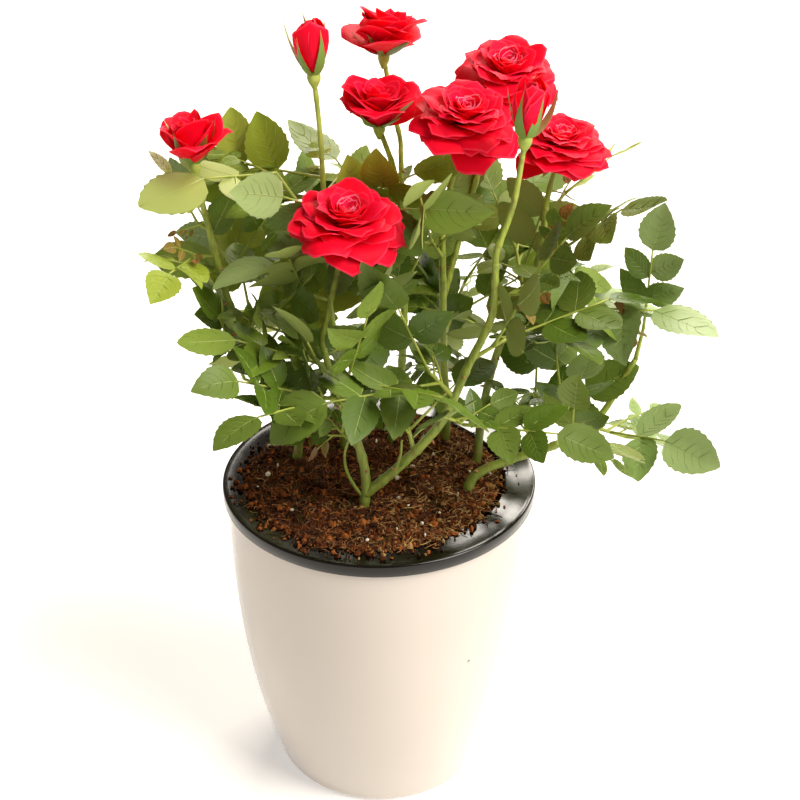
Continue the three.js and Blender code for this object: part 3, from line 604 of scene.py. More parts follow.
# Two thin shoots rise from the foot of the front cane and from the arching one.
THIN_SHOOTS = [
    [[-6.5, -33, 179], [-12.7, -34, 190], [-15.5, -35, 199], [-15.7, -36, 208], [-13, -36, 217]],
    [[6, -33, 193], [9, -34.5, 199], [11, -35.5, 207], [11.5, -36, 215]],
]
cane_green = green_cane()
parts = [limb(one["line"], one["foot"], one["tip"], seed) for seed, one in enumerate(CANES.values())]
parts += [limb(smooth_path(path, 60), 1.0, 0.5, 50 + seed, 8, 0.02) for seed, path in enumerate(THIN_SHOOTS)]
points, faces = gathered(parts)
mesh_piece("canes", points, faces, [cane_green], [n for n in nodes if n.startswith("cane")])

# Prickles: short curved thorns that point down the cane a little, reddish where they are new.

GOLDEN_ANGLE = 137.5


def prickles():
    """Cones whose middle line drops towards the tip, at places spread by the golden angle."""
    paths, radii = [], []
    for order, (name, one) in enumerate(CANES.items()):
        heights = np.arange(one["line"][0, 2] + 12 + 3 * (order % 3), one["line"][-1, 2] - 6, 17.0)
        for k, height in enumerate(heights):
            point, along, radius, _ = cane_at(name, height)
            angle = np.radians(GOLDEN_ANGLE * k + 50 * order)
            side = unit(np.cross(along, [0.3, 0.8, 0.1]))
            out = side * np.cos(angle) + np.cross(along, side) * np.sin(angle)
            s = np.linspace(0, 1, 5)[:, None]
            size = 2.2 + 0.9 * ((k * 7 + order) % 3) / 2
            paths.append(point + out * (radius * 0.6 + s * size) - along * s ** 2 * size * 0.35)
            radii.append(0.95 * (1 - s[:, 0]) ** 0.8 + 0.05)
    return tubes(np.array(paths), np.array(radii), 6)


# Hard horn with a satin surface, red brown in some places and straw in others.
points, faces = prickles()
prickle_red = mottled("prickle_young", "#8A4A2E", "#B08A50", 0.45, 6)
mesh_piece("prickles", points, faces, [prickle_red])

# ------------------------------------------------------------------ roses
# Nine double blooms on green stalks: six open or half open rosettes, a half-open cup and two
# tight buds. Velvety red petals overlap in a spiral above a green hip with five sepals.


def bloom_spec(cane_name, stalk, width, form, lean):
    """A bloom by its cane, its stalk's points, its width, its form and how its axis leans."""
    return {"cane": cane_name, "stalk": stalk, "width": width, "form": form, "lean": lean}


ROSES = {
    "rose_front": bloom_spec("cane_front", [[-23, -23, 275], [-17, -20, 300], [-13, -18, 314]], 57, "open",
                             (-80, 10)),
    "rose_left_bud": bloom_spec("cane_left", [[-83, 0, 340]], 30, "cup", (180, 4)),
    "rose_high_bud": bloom_spec("cane_centre_left", [[-26, 11, 352], [-28, 10, 378]], 17, "bud", (180, 3)),
    "rose_top": bloom_spec("cane_centre_fork", [[7, 53, 350], [3, 54, 374]], 42, "half", (60, 6)),
    "rose_centre": bloom_spec("cane_centre", [[8, 19, 330], [1, 22, 350]], 42, "half", (-100, 6)),
    "rose_middle": bloom_spec("cane_back", [[34, 13, 323], [40, 10, 354]], 52, "open", (-70, 16)),
    "rose_upper": bloom_spec("cane_back_fork", [[57, 44, 350], [61, 45, 365]], 51, "open", (-80, 16)),
    "rose_right": bloom_spec("cane_high", [[86, 25, 336]], 48, "open", (-60, 8)),
    "rose_right_bud": bloom_spec("cane_arching", [[61, -27, 332], [65, -25, 361]], 17, "bud", (10, 4)),
}
# A pair is the outermost petal's value and the innermost one's. Lengths are shares of the bloom's
# width and angles are in degrees. Sepals: their rise, length, width and bend.
FORMS = {
    "open": {"petals": 72, "length": (0.53, 0.2), "half_width": (0.25, 0.1), "rise": (6, 80),
             "curl": (-22, 26), "seat": (1.0, 3.0), "roll": 58, "sepals": (-24, 0.3, 0.1, -0.2)},
    "half": {"petals": 30, "length": (0.6, 0.4), "half_width": (0.37, 0.15), "rise": (36, 84),
             "curl": (6, 22), "seat": (1.0, 3.0), "roll": 56, "sepals": (34, 0.46, 0.13, 0.12)},
    "cup": {"petals": 18, "length": (0.82, 0.62), "half_width": (0.44, 0.22), "rise": (52, 80),
            "curl": (12, 22), "seat": (1.0, 2.0), "roll": 44, "sepals": (50, 0.78, 0.2, 0.16)},
    "bud": {"petals": 9, "length": (1.5, 1.3), "half_width": (0.62, 0.4), "rise": (54, 70),
            "curl": (54, 36), "seat": (1.0, 2.0), "roll": 0, "sepals": (52, 1.45, 0.3, 0.36)},
}
rose_nodes = [n for n in nodes if n.startswith("rose")]


def heading(azimuth, rise):
    """A unit direction towards an azimuth (0 is +X, 90 is +Y) and a rise above the level."""
    azimuth, rise = np.radians(azimuth), np.radians(rise)
    return np.array([np.cos(rise) * np.cos(azimuth), np.cos(rise) * np.sin(azimuth), np.sin(rise)])


def frame_of(lean):
    """Three unit directions: across, other and the axis that leans by an angle to an azimuth."""
    axis = heading(lean[0], 90 - lean[1])
    across = unit(np.cross([0.0, 1.0, 0.0], axis))
    return across, np.cross(axis, across), axis


stalks = []
for seed, rose in enumerate(ROSES.values()):
    line = CANES[rose["cane"]]["line"]
    start, along = line[-1], unit(line[-1] - line[-2])
    path = smooth_path([start - along * 3, start + along * 4.3, *rose["stalk"]], 90)
    rose["path"], rose["centre"], rose["frame"] = path, path[-1], frame_of(rose["lean"])
    stalks.append(limb(path, CANES[rose["cane"]]["tip"] * 0.97, 1.15, 30 + seed, 12, 0.02))
points, faces = gathered(stalks)
mesh_piece("rose_stalks", points, faces, [cane_green])


def placed(rose, local):
    """Points given in a bloom's own frame, carried to its place on the plant."""
    across, other, axis = rose["frame"]
    return rose["centre"] + local[..., :1] * across + local[..., 1:2] * other + local[..., 2:] * axis


def hip(rose):
    """An urn that widens from the stalk to the calyx and closes under the petals."""
    wide = 3.6 if rose["form"] == "bud" else 3.3
    t = np.linspace(0, 1, 14)
    radius = 1.0 + (wide - 1.0) * np.sin(np.pi * np.clip(t * 0.72, 0, 1)) ** 1.3 * (1 - 0.25 * t)
    profile = np.concatenate([[[0, -5.5]], np.stack([radius, -5.5 + 8.5 * t], -1), [[0, 3.2]]])
    return placed(rose, turned(profile, 16)), [grid_faces(len(profile), 16, closed=True)]


# The hips have the waxy skin of the stalks, a little paler and yellower.
hip_green = mottled("rose_hip_green", "#8CA23E", "#AEBC58", 0.45, 4, Specular_IOR_Level=0.4)
points, faces = gathered([hip(rose) for rose in ROSES.values()])
mesh_piece("rose_hips", points, faces, [hip_green], weld=True)

# Petals: thin closed shells, broad and rounded with a small point, whose edges roll outwards.

ALONG_PETAL = np.array([0, 0.22, 0.42, 0.6, 0.76, 0.88, 0.955, 1])
ACROSS_PETAL = np.array([-1, -0.91, -0.64, -0.32, 0, 0.32, 0.64, 0.91, 1])
ROWS, COLUMNS = len(ALONG_PETAL), len(ACROSS_PETAL)
PETAL_THICKNESS = 0.32


def petal_shells(rose, seed):
    """The petals of a bloom as a grid of points each, and the points of its back inside the edge.

    A petal's middle line starts near the axis at its own rise, and bends by its curl. Across, it
    follows a circle round the axis, so that inner petals wrap the heart and outer ones lie flat.
    Its edge rolls back, its margin waves, and its tip has a small point. s runs from 0 at the
    outermost petal to 1 at the innermost, tau along a petal and u across it.
    """
    form, width = FORMS[rose["form"]], rose["width"]
    random = np.random.default_rng(40 + seed)
    count = form["petals"]
    s = (np.arange(count) / (count - 1))[:, None, None]
    mix = lambda key: form[key][0] + (form[key][1] - form[key][0]) * s
    own = lambda amount: random.normal(0, amount, (count, 1, 1))
    tau = ALONG_PETAL[None, :, None]
    u = ACROSS_PETAL[None, None, :]
    length = mix("length") * width * (1 + own(0.05))
    half = mix("half_width") * width * (1 + own(0.07))
    reach = 1 - 0.2 * np.abs(u) ** 2.2 + 0.045 * np.exp(-(u / 0.2) ** 2)
    t = tau * reach
    rise = form["rise"][0] + (form["rise"][1] - form["rise"][0]) * s ** 1.05 + own(7) * (1.2 - s)
    curl = mix("curl") + own(7)
    tip_roll = form["roll"] * (1.12 - 0.6 * s) * (1 + own(0.3))
    angle = np.radians(rise + curl * t ** 1.6 - tip_roll * np.clip((t - 0.72) / 0.28, 0, 1) ** 1.6)
    step = np.diff(t, axis=1, prepend=0) * length
    out = 1.4 + np.cumsum(step * np.cos(angle), 1)
    up = mix("seat") + np.cumsum(step * np.sin(angle), 1)
    shape = 0.2 + 0.8 * np.sin(np.pi / 2 * np.clip(tau / 0.7, 0, 1)) ** 1.1
    shape = shape * (1 - 0.14 * np.clip((tau - 0.7) / 0.3, 0, 1))
    turn = np.radians(GOLDEN_ANGLE) * np.arange(count)[:, None, None] + own(0.12)
    wrap = np.maximum(np.abs(out), 3.0 + 2.2 * (1 - s))
    spread = u * shape * half / wrap
    wave = own(0.05) * np.sin(2.6 * u + 9 * s) * tau ** 2 * length
    wave = wave + own(0.02) * np.sin(6 * u + 31 * s) * tau ** 3 * length
    roll = 0.22 * half * np.abs(u) ** 2.8 * tau * (1 - 0.6 * s)
    out = out + roll * np.sin(angle) * 0.8
    up = up - roll * np.cos(angle) + wave
    points = np.stack([out * np.cos(turn + spread), out * np.sin(turn + spread), up], -1)
    normal = unit(np.cross(np.gradient(points, axis=2), np.gradient(points, axis=1)) + 1e-9)
    inside = np.zeros((ROWS, COLUMNS), bool)
    inside[1:-1, 1:-1] = True
    back = points[:, inside] + normal[:, inside] * PETAL_THICKNESS
    return placed(rose, points.reshape(count, -1, 3)), placed(rose, back), inside, s[:, 0, 0]


def petal_faces(inside):
    """Faces of a petal's inner side, and of its back, whose edge points are the inner side's."""
    index = np.arange(ROWS * COLUMNS).reshape(ROWS, COLUMNS)
    other = index.copy()
    other[inside] = ROWS * COLUMNS + np.arange(inside.sum())
    quads = lambda g: np.stack([g[:-1, :-1], g[:-1, 1:], g[1:, 1:], g[1:, :-1]], -1).reshape(-1, 4)
    return quads(index), quads(other)[:, ::-1]


def petal_red(name, colour):
    """Velvety petal tissue: rough, light seeps through it, and each part of a bloom has one colour."""
    more = {"Specular_IOR_Level": 0.1, "Subsurface_Weight": 0.35, "Subsurface_Scale": 1.5 * MM}
    return finish_of(name, colour, 0.6, **more)[0]


# The two rim tones are painted highlight: a paler pink on each petal's edge stands in for light caught along
# it.
PETAL_COLOURS = {"red_outer": "#F8062C", "red_inner": "#FF0C3A", "red_heart": "#FF2052",
                 "highlight_rim_heart": "#FF7C9A", "rim": "#FF2A4A"}
petal_tones = [petal_red(f"petal_{part}", colour) for part, colour in PETAL_COLOURS.items()]
row, column = np.mgrid[0:ROWS - 1, 0:COLUMNS - 1]
# The rim faces, which take the painted highlight tones: a petal's last row and the sides of its upper rows.
is_highlight_edge = ((row == ROWS - 2) | ((row > 2) & ((column == 0) | (column == COLUMNS - 2)))).ravel()
all_points, front, back, tones, start = [], [], [], [], 0
for seed, rose in enumerate(ROSES.values()):
    shell, behind, inside, share = petal_shells(rose, seed)
    count = len(shell)
    points = np.concatenate([shell, behind], 1)
    stride = points.shape[1]
    near, far = petal_faces(inside)
    offsets = start + stride * np.arange(count)[:, None, None]
    all_points.append(points.reshape(-1, 3))
    front.append((near[None] + offsets).reshape(-1, 4))
    back.append((far[None] + offsets).reshape(-1, 4))
    tone = np.digitize(share, [0.45, 0.86])
    # Rim faces take a painted highlight tone, a paler pink in the heart of an open bloom.
    rim = np.where((share > 0.8) & (rose["form"] == "open"), 3, 4)
    tones.append(np.where(is_highlight_edge, rim[:, None], tone[:, None]).ravel())
    start += count * stride
creased(mesh_piece("petals", np.concatenate(all_points), front + back, petal_tones, rose_nodes,
                   which=np.concatenate(tones + tones)), 70)

# ------------------------------------------------------------------ sprays of leaves
# Each spray is a thin twig from a cane with compound leaves round it: a stalk, one or two pairs of
# toothed leaflets and one at the end. Smaller leaves and short side shoots grow between them.

LEAF = {"width": 0.68, "petiole": 0.66, "pair_gap": 0.54, "pair_step": 1.1, "lateral": 0.84,
        "opening": 60.0, "end_droop": 0.25, "stalk_radius": 0.62}
DIVERGENCE = 144.0
STEM = {"root": 1.1, "tip": 0.8}
SHOOT = {"root": 0.7, "tip": 0.5}
# Each spray by its cane, its height on it, the azimuth and rise of its twig, the twig's length, its
# number of leaves, the turn of the first one round the twig, and the length of an end leaflet.
SPRAYS = {
    "foliage_left_tip": ("cane_left", 294, 195, 5, 8, 1, 90, 21),
    "foliage_left_upper": ("cane_left", 276, 60, 40, 14, 2, 310, 27),
    "foliage_left_inner": ("cane_left", 254, -20, 30, 16, 2, 200, 28),
    "foliage_left_middle": ("cane_left", 244, 215, 15, 10, 2, 90, 24),
    "foliage_left_low": ("cane_left", 218, 195, 30, 12, 2, 160, 24),
    "foliage_left_back": ("cane_left", 226, 110, 35, 30, 3, 60, 32),
    "foliage_top_left": ("cane_centre_left", 296, 160, 52, 36, 3, 20, 32),
    "foliage_top_back_left": ("cane_centre_left", 300, 95, 45, 26, 3, 10, 32),
    "foliage_centre_left": ("cane_centre_left", 264, 200, 20, 20, 2, 300, 29),
    "foliage_back_left": ("cane_centre_left", 226, 110, 30, 34, 3, 140, 32),
    "foliage_front_upper": ("cane_front", 250, 175, 15, 12, 2, 100, 27),
    "foliage_front_middle": ("cane_front", 236, -100, 20, 10, 2, 30, 27),
    "foliage_front_left": ("cane_front", 232, 205, 25, 16, 2, 120, 26),
    "foliage_front_low": ("cane_front", 206, 150, 35, 14, 2, 20, 22),
    "foliage_front_right": ("cane_front", 242, -30, 15, 12, 2, 20, 26),
    "foliage_centre_front": ("cane_arching", 236, 190, 50, 16, 2, 200, 31),
    "foliage_centre_low": ("cane_arching", 206, 108, 45, 16, 2, 90, 25),
    "foliage_arching_low": ("cane_arching", 226, -50, 5, 10, 2, 60, 25),
    "foliage_arching_middle": ("cane_arching", 256, 10, 30, 14, 2, 40, 28),
    "foliage_arching_upper": ("cane_arching", 284, 0, 35, 14, 2, 240, 25),
    "foliage_centre_top": ("cane_centre", 290, 200, 45, 18, 3, 40, 30),
    "foliage_centre_middle": ("cane_centre", 250, 245, 35, 18, 2, 150, 30),
    "foliage_centre_back": ("cane_centre", 258, 90, 35, 28, 3, 30, 32),
    "foliage_back_top": ("cane_back", 286, 240, 50, 14, 2, 100, 28),
    "foliage_back_middle": ("cane_back", 240, 70, 25, 34, 3, 60, 32),
    "foliage_back_low": ("cane_back", 214, 100, 15, 26, 3, 10, 29),
    "foliage_high_upper": ("cane_high", 284, -40, 30, 12, 2, 170, 25),
    "foliage_high_back": ("cane_high", 262, 100, 40, 24, 3, 20, 31),
    "foliage_high_middle": ("cane_high", 238, -70, 30, 16, 2, 80, 27),
    "foliage_right_far": ("cane_right", 245, 300, 80, 18, 1, 250, 23),
    "foliage_right_upper": ("cane_high", 258, -28, 10, 14, 1, 90, 33),
    "foliage_right_inner": ("cane_right", 202, 110, 55, 18, 2, 0, 28),
    "foliage_right_middle": ("cane_right", 200, -60, 20, 14, 2, 20, 26),
    "foliage_right_low": ("cane_right", 208, 0, -20, 16, 2, 60, 30),
    "foliage_right_back": ("cane_right", 194, 80, 30, 26, 3, 60, 28),
    "foliage_left_top": ("cane_left", 308, 165, 20, 3, 1, 0, 14),
    "foliage_high_tip": ("cane_high", 304, 35, 40, 12, 1, 0, 20),
}
# The space that the leaves keep to: its left and right side at each height, its front and back, a
# hem that drops and a top that sinks towards the back, and a crest at the left above that top.
CROWN = {
    "rows": np.array([[164.0, 0, 178], [185, -25, 172], [205, -52, 156], [222, -82, 158], [240, -84, 160],
                      [270, -86, 160], [300, -114, 150], [320, -114, 138], [350, -102, 120], [374, -90, 60]]),
    "front": -92, "back": 104, "hem": 166, "hem_slope": -0.66, "top": 352, "top_slope": -0.32,
    "crest": (-92, -38)}


def in_crown(point):
    """True inside the crown's sides at that height, above its hem and under its top."""
    x, y, z = point
    rows = CROWN["rows"]
    if z < rows[0, 0] or z > rows[-1, 0] or y < CROWN["front"] or y > CROWN["back"]:
        return False
    if z < CROWN["hem"] + CROWN["hem_slope"] * y:
        return False
    if z > CROWN["top"] + CROWN["top_slope"] * y and not CROWN["crest"][0] <= x <= CROWN["crest"][1]:
        return False
    return np.interp(z, rows[:, 0], rows[:, 1]) < x < np.interp(z, rows[:, 0], rows[:, 2])


class Seeded:
    """A linear congruential generator, the same one that the solids' sprays use."""

    def __init__(self, seed):
        self.state = (seed * 7919 + 17) % 2 ** 32

    def __call__(self):
        self.state = (self.state * 1664525 + 1013904223) % 2 ** 32
        return self.state / 2 ** 32

    def spread(self, middle, width):
        """A number within the width on either side of the middle."""
        return middle + (self() * 2 - 1) * width


def square_to(v, axis):
    """The part of v square to a unit axis, as a unit vector."""
    return unit(v - axis * np.dot(v, axis))


def about(v, axis, degrees):
    """v turned about a unit axis, by Rodrigues' formula."""
    angle = np.radians(degrees)
    along = axis * np.dot(axis, v)
    return v * np.cos(angle) + np.cross(axis, v) * np.sin(angle) + along * (1 - np.cos(angle))


def compound_leaf(root, direction, size, pairs, random):
    """A straight stalk, pairs of leaflets along it, and one that droops at its end."""
    tilt = np.array([direction[0], direction[1], 0.0]) * 0.8 + UP
    tilt += [random.spread(0, 0.5), random.spread(-0.2, 0.5), 0]
    normal = square_to(tilt, direction)
    across = np.cross(direction, normal)
    leaflets = []
    for pair in range(pairs):
        place = size * (LEAF["petiole"] + LEAF["pair_gap"] * pair)
        for hand in (-1, 1):
            opening = np.radians(random.spread(LEAF["opening"], 8))
            way = direction * np.cos(opening) + across * hand * np.sin(opening)
            length = size * LEAF["lateral"] * random.spread(1, 0.1)
            leaflets.append((place + hand * LEAF["pair_step"], way, normal, length))
    reach = size * (LEAF["petiole"] + LEAF["pair_gap"] * pairs)
    end = unit(direction - UP * LEAF["end_droop"])
    leaflets.append((reach, end, square_to(normal, end), size))
    return {"root": root, "direction": direction, "reach": reach, "leaflets": leaflets}


def swung(leaf, turn, lift):
    """The leaf lifted about the level line through its root, then turned about the upright."""
    level = unit(np.cross(leaf["direction"], UP))
    move = lambda v: about(about(v, level, lift), UP, turn)
    moved = [(place, move(way), move(normal), length) for place, way, normal, length in leaf["leaflets"]]
    return {**leaf, "direction": move(leaf["direction"]), "leaflets": moved}


def with_room(leaf):
    """The leaf itself, or the first of its swings by ever larger angles that stays in the crown."""
    for widest in (0, 15, 30, 50, 75):
        for turn in (0, widest, -widest):
            for lift in (0, widest, -widest):
                trial = swung(leaf, turn, lift)
                tips = [trial["root"] + trial["direction"] * p + w * l for p, w, _, l in trial["leaflets"]]
                if all(in_crown(tip) for tip in tips):
                    return trial
    return None


def branch(way, turn, opening):
    """A direction that opens from a twig's own, turned round the twig, and lifts a little."""
    upper = square_to(UP, way)
    across = np.cross(way, upper)
    turn, opening = np.radians(turn), np.radians(opening)
    aside = upper * np.cos(turn) + across * np.sin(turn)
    return unit(way * np.cos(opening) + aside * np.sin(opening) + UP * 0.12)


def leaf_on(root, way, share, length, turn, opening, size, pairs, random):
    """A compound leaf at a share of a twig's length."""
    return compound_leaf(root + way * length * share, branch(way, turn, opening), size, pairs, random)


def finer_shoots(root, way, length, count, phase, size, random):
    """Side twigs a little past every second leaf, each with a small leaf on its way and at its tip."""
    shoots = []
    for k in range(0, count, 2):
        turn, opening = phase + 215 + DIVERGENCE * k + random.spread(0, 25), random.spread(48, 10)
        start = root + way * length * (k + 0.72) / count
        own_way, own_length = branch(way, turn, opening), size * random.spread(0.44, 0.1)
        leaves = []
        for share, aside in ((0.55, 52), (1.0, 12)):
            around, own = random.spread(180, 90), size * random.spread(0.36, 0.06)
            leaves.append(leaf_on(start, own_way, share, own_length, around, aside, own, 1, random))
        shoots.append({"root": start, "way": own_way, "length": own_length, "leaves": leaves})
    return shoots


def roomy(leaves):
    """Those of the leaves that find room in the crown."""
    return [leaf for leaf in map(with_room, leaves) if leaf]


def grow(spec, seed):
    """The solids' rule for a spray, carried on to small leaves between the main ones and to finer
    shoots. Each of the three draws from a seed of its own."""
    cane_name, height, azimuth, rise, length, count, phase, size = spec
    random, tender, finer = Seeded(seed), Seeded(seed + 900), Seeded(seed + 500)
    way = heading(azimuth, rise)
    point, along, radius, is_tip = cane_at(cane_name, height)
    slant = abs(np.dot(way, along))
    square = np.sqrt(1 - slant ** 2)
    past_tip = along * (CLEARANCE + STEM["root"] * square)
    past_side = way * (radius + CLEARANCE + STEM["root"] * slant) / square
    root = point + (past_tip if is_tip else past_side)
    leaves = []
    for k in range(count):
        turn = phase + DIVERGENCE * k + random.spread(0, 10)
        opening = random.spread(14, 6) if k == count - 1 else random.spread(58, 8)
        own = size * random.spread(1, 0.1)
        pairs = 2 if random() < 0.5 else 1
        leaves.append(leaf_on(root, way, (k + 1) / count, length, turn, opening, own, pairs, random))
    for k in range(1, count, 2):
        turn = phase + 70 + DIVERGENCE * k + finer.spread(0, 20)
        opening = finer.spread(64, 10)
        own = size * finer.spread(0.56, 0.1)
        leaves.append(leaf_on(root, way, (k + 0.45) / count, length, turn, opening, own, 1, finer))
    shoots = finer_shoots(root, way, length, count, phase, size, tender)
    for shoot in shoots:
        shoot["leaves"] = roomy(shoot["leaves"])
    return {"point": point, "root": root, "way": way, "length": length,
            "leaves": roomy(leaves), "shoots": shoots}


LEAF_GAP = 2.4  # between one leaflet's points and another's
NEARBY = 60.0  # leaflets further away than this can't touch
STALK_ROOM = 1.4
FAR_AWAY = 1e6
BLOOM_BALL = {"rise": 0.12, "radius_squared": 0.27, "height_squared": 0.055}  # by the bloom's width
cane_points = [np.c_[one["line"], np.linspace(one["foot"], one["tip"], len(one["line"]))]
               for one in CANES.values()]
stalk_points = [np.c_[rose["path"], np.full(len(rose["path"]), STALK_ROOM)] for rose in ROSES.values()]
limb_points = np.concatenate(cane_points + stalk_points)
placed_leaflets = [np.full((1, 3), FAR_AWAY)]


def has_space(points):
    """True where the points are clear of canes, stalks and the leaflets placed before, and outside
    each bloom's own flattened ball."""
    away = np.linalg.norm(points[:, None] - limb_points[:, :3], axis=-1) - limb_points[:, 3]
    if away.min() < CLEARANCE:
        return False
    for rose in ROSES.values():
        local = (points - rose["centre"]) @ np.stack(rose["frame"]).T / rose["width"]
        radius, height = np.hypot(local[:, 0], local[:, 1]), local[:, 2] - BLOOM_BALL["rise"]
        ball = radius ** 2 / BLOOM_BALL["radius_squared"] + height ** 2 / BLOOM_BALL["height_squared"]
        if ball.min() < 1:
            return False
    taken = np.concatenate(placed_leaflets)
    near = taken[np.abs(taken - points[0]).max(1) < NEARBY]
    return len(near) == 0 or np.linalg.norm(points[:, None] - near, axis=-1).min() > LEAF_GAP


def settled(leaf):
    """The leaf with those of its leaflets that find room, swung up or down where that helps."""
    kept = []
    for place, way, normal, length in leaf["leaflets"]:
        for by in (0, 0.3, -0.3, 0.6, -0.6):
            turned_way = unit(way + normal * by)
            up = square_to(normal, turned_way)
            side = np.cross(turned_way, up) * LEAF["width"] * length
            s, v = np.meshgrid([0.25, 0.5, 0.75, 0.97], [-0.3, 0, 0.3])
            v = v * (s < 0.9)
            root = leaf["root"] + leaf["direction"] * place
            points = root + s.reshape(-1, 1) * turned_way * length + v.reshape(-1, 1) * side
            if in_crown(points[3]) and has_space(points):
                placed_leaflets.append(points)
                kept.append((place, turned_way, up, length))
                break
    return {**leaf, "leaflets": kept}


def all_settled(leaves):
    """The leaves that keep at least two of their leaflets."""
    return [leaf for leaf in map(settled, leaves) if len(leaf["leaflets"]) > 1]


sprays = {name: grow(spec, seed) for seed, (name, spec) in enumerate(SPRAYS.items(), 1)}
for spray in sprays.values():
    spray["leaves"] = all_settled(spray["leaves"])
for spray in sprays.values():
    for shoot in spray["shoots"]:
        shoot["leaves"] = all_settled(shoot["leaves"])
    spray["shoots"] = [shoot for shoot in spray["shoots"] if shoot["leaves"]]
    spray["small"] = [leaf for shoot in spray["shoots"] for leaf in shoot["leaves"]]

# The twigs and leaf stalks are round and green, thicker at their foot, each sunk in what bears it.

STALK_TAPER = np.array([1.5, 1.15, 1.0, 0.95, 0.9, 0.82, 0.7])
STALK_SHARES = ((28, 1.0), (16, 0.8), (0, 0.55))  # longer than this: this share of the full radius


def straight(start, way, length):
    """Evenly spaced points of a straight line, one for each value of the taper."""
    return start + way * length * np.linspace(0, 1, len(STALK_TAPER))[:, None]


twig_lines, twig_radii = [], []
for spray in sprays.values():
    tip = spray["root"] + spray["way"] * spray["length"]
    twig_lines.append(straight(spray["point"], tip - spray["point"], 1))
    twig_radii.append(np.linspace(STEM["root"] + 0.15, STEM["tip"], len(STALK_TAPER)))
    for shoot in spray["shoots"]:
        twig_lines.append(straight(shoot["root"], shoot["way"], shoot["length"]))
        twig_radii.append(np.linspace(SHOOT["root"], SHOOT["tip"], len(STALK_TAPER)))
    for leaf in spray["leaves"] + spray["small"]:
        twig_lines.append(straight(leaf["root"], leaf["direction"], leaf["reach"]))
        share = next(share for reach, share in STALK_SHARES if leaf["reach"] > reach)
        twig_radii.append(LEAF["stalk_radius"] * share * STALK_TAPER)
# Soft green bark, yellower than the canes' and a little duller.
points, faces = tubes(np.array(twig_lines), np.array(twig_radii), 6)
twig_green = mottled("rose_twig_green", "#8C9A3A", "#A8B450", 0.5, 9, Specular_IOR_Level=0.4)
foliage_nodes = [n for n in nodes if n.startswith("foliage")]
mesh_piece("twigs", points, faces, [twig_green], foliage_nodes)

# A leaflet is a thin folded blade with toothed edges. Its upper side is pleated a little between
# the veins, its underside is smoother and paler, and a rib runs down its middle.

TEETH = 8
BLADE = {"thickness": 0.3, "pleat": 0.012, "tooth": 0.065, "least_tooth": 0.012}


def blade_template():
    """The kind, place along and place across of each point of a leaflet, and its faces above and below.

    Along runs 0 to 1 and across -1 to 1 of the half width. The middle line, the line half way to
    the edge, the hollows between the teeth and the teeth each have their own row of points.
    """
    s = np.arange(1, TEETH) / TEETH
    teeth = (np.arange(TEETH) + 0.72) / TEETH
    rows = [("end", [0.0], 0), ("end", [1.0], 0), ("mid", s, 0), ("under", s, 0)]
    for hand in (-1, 1):
        rows += [("half", s, hand * 0.52), ("edge", s, hand), ("tooth", teeth, hand)]
    kinds, along, across, start = [], [], [], {}
    for kind, places, side in rows:
        start[(kind, int(np.sign(side)))] = len(along) if kind != "end" else 0
        kinds += [kind] * len(places)
        along += list(places)
        across += [side] * len(places)

    def at(kind, hand, i):
        """The number of a row's point, where every row begins and ends in the blade's two ends."""
        if i == 0 or i == TEETH:
            return 0 if i == 0 else 1
        return start[(kind, hand if kind in ("half", "edge") else 0)] + i - 1

    upper, lower = [], []
    for hand in (-1, 1):
        for i in range(TEETH):
            tooth = start[("tooth", hand)] + i
            mid, half, edge, under = ([at(kind, hand, i), at(kind, hand, i + 1)]
                                      for kind in ("mid", "half", "edge", "under"))
            inner = [mid[0], half[0], half[1], mid[1]]
            outer = [half[0], edge[0], tooth, edge[1], half[1]]
            below = [under[1], edge[1], tooth, edge[0], under[0]]
            for face, target in ((inner, upper), (outer, upper), (below, lower)):
                clean = [c for k, c in enumerate(face) if c != face[k - 1]]
                target.append(clean if hand > 0 else clean[::-1])
    return np.array(kinds), np.array(along), np.array(across), upper, lower


KINDS, ALONG, ACROSS, UPPER, LOWER = blade_template()


def half_width(s, broad):
    """Rounded at the root and drawn to a point, s^0.6 (1 - s)^broad, and 1 where it is widest."""
    peak = 0.6 / (0.6 + broad)
    return s ** 0.6 * (1 - s) ** broad / (peak ** 0.6 * (1 - peak) ** broad)


def blades(root, way, normal, length, width, bend, random, taper=(0.72, 1.0)):
    """Leaflets as arrays: each one's template folded up along its middle, bent towards its upper
    side, pleated between its veins and twisted a little by its own random numbers."""
    count = len(length)
    own = lambda low, high: random.uniform(low, high, (count, 1))
    s, v = ALONG[None], ACROSS[None]
    broad = own(*taper)
    reach = half_width(np.clip(s, 1e-6, 1 - 1e-6), broad) * (KINDS != "end")
    tooth = 1 + (KINDS == "tooth") * (BLADE["tooth"] + BLADE["least_tooth"] / np.maximum(reach, 0.12))
    across = v * reach * tooth * width[:, None] / 2
    is_even = np.round(ALONG * TEETH).astype(int) % 2 == 0
    pleat = ((KINDS == "half") & is_even) * BLADE["pleat"] * length[:, None]
    fold = own(0.06, 0.34) * np.abs(across) - own(0.0, 0.2) * across ** 2 / width[:, None]
    rise = (bend[:, None] * s ** 2 + own(-0.08, 0.05) * np.sin(np.pi * s)) * length[:, None]
    side_of = 1.0 * np.isin(KINDS, ("mid", "half")) - (KINDS == "under")
    height = fold + rise + pleat + side_of * BLADE["thickness"] / 2
    twist = np.radians(own(-16, 16)) * (0.5 + s)
    side = np.cross(way, normal)
    x = across * np.cos(twist) - height * np.sin(twist)
    y = across * np.sin(twist) + height * np.cos(twist)
    along = (s * length[:, None])[..., None] * way[:, None]
    return root[:, None] + along + x[..., None] * side[:, None] + y[..., None] * normal[:, None]


def by_size(faces, count, stride):
    """The template's faces for every leaflet, in blocks of faces with one number of corners."""
    blocks = []
    for corners in sorted({len(face) for face in faces}):
        own = np.array([face for face in faces if len(face) == corners])
        blocks.append((own[None] + stride * np.arange(count)[:, None, None]).reshape(-1, corners))
    return blocks


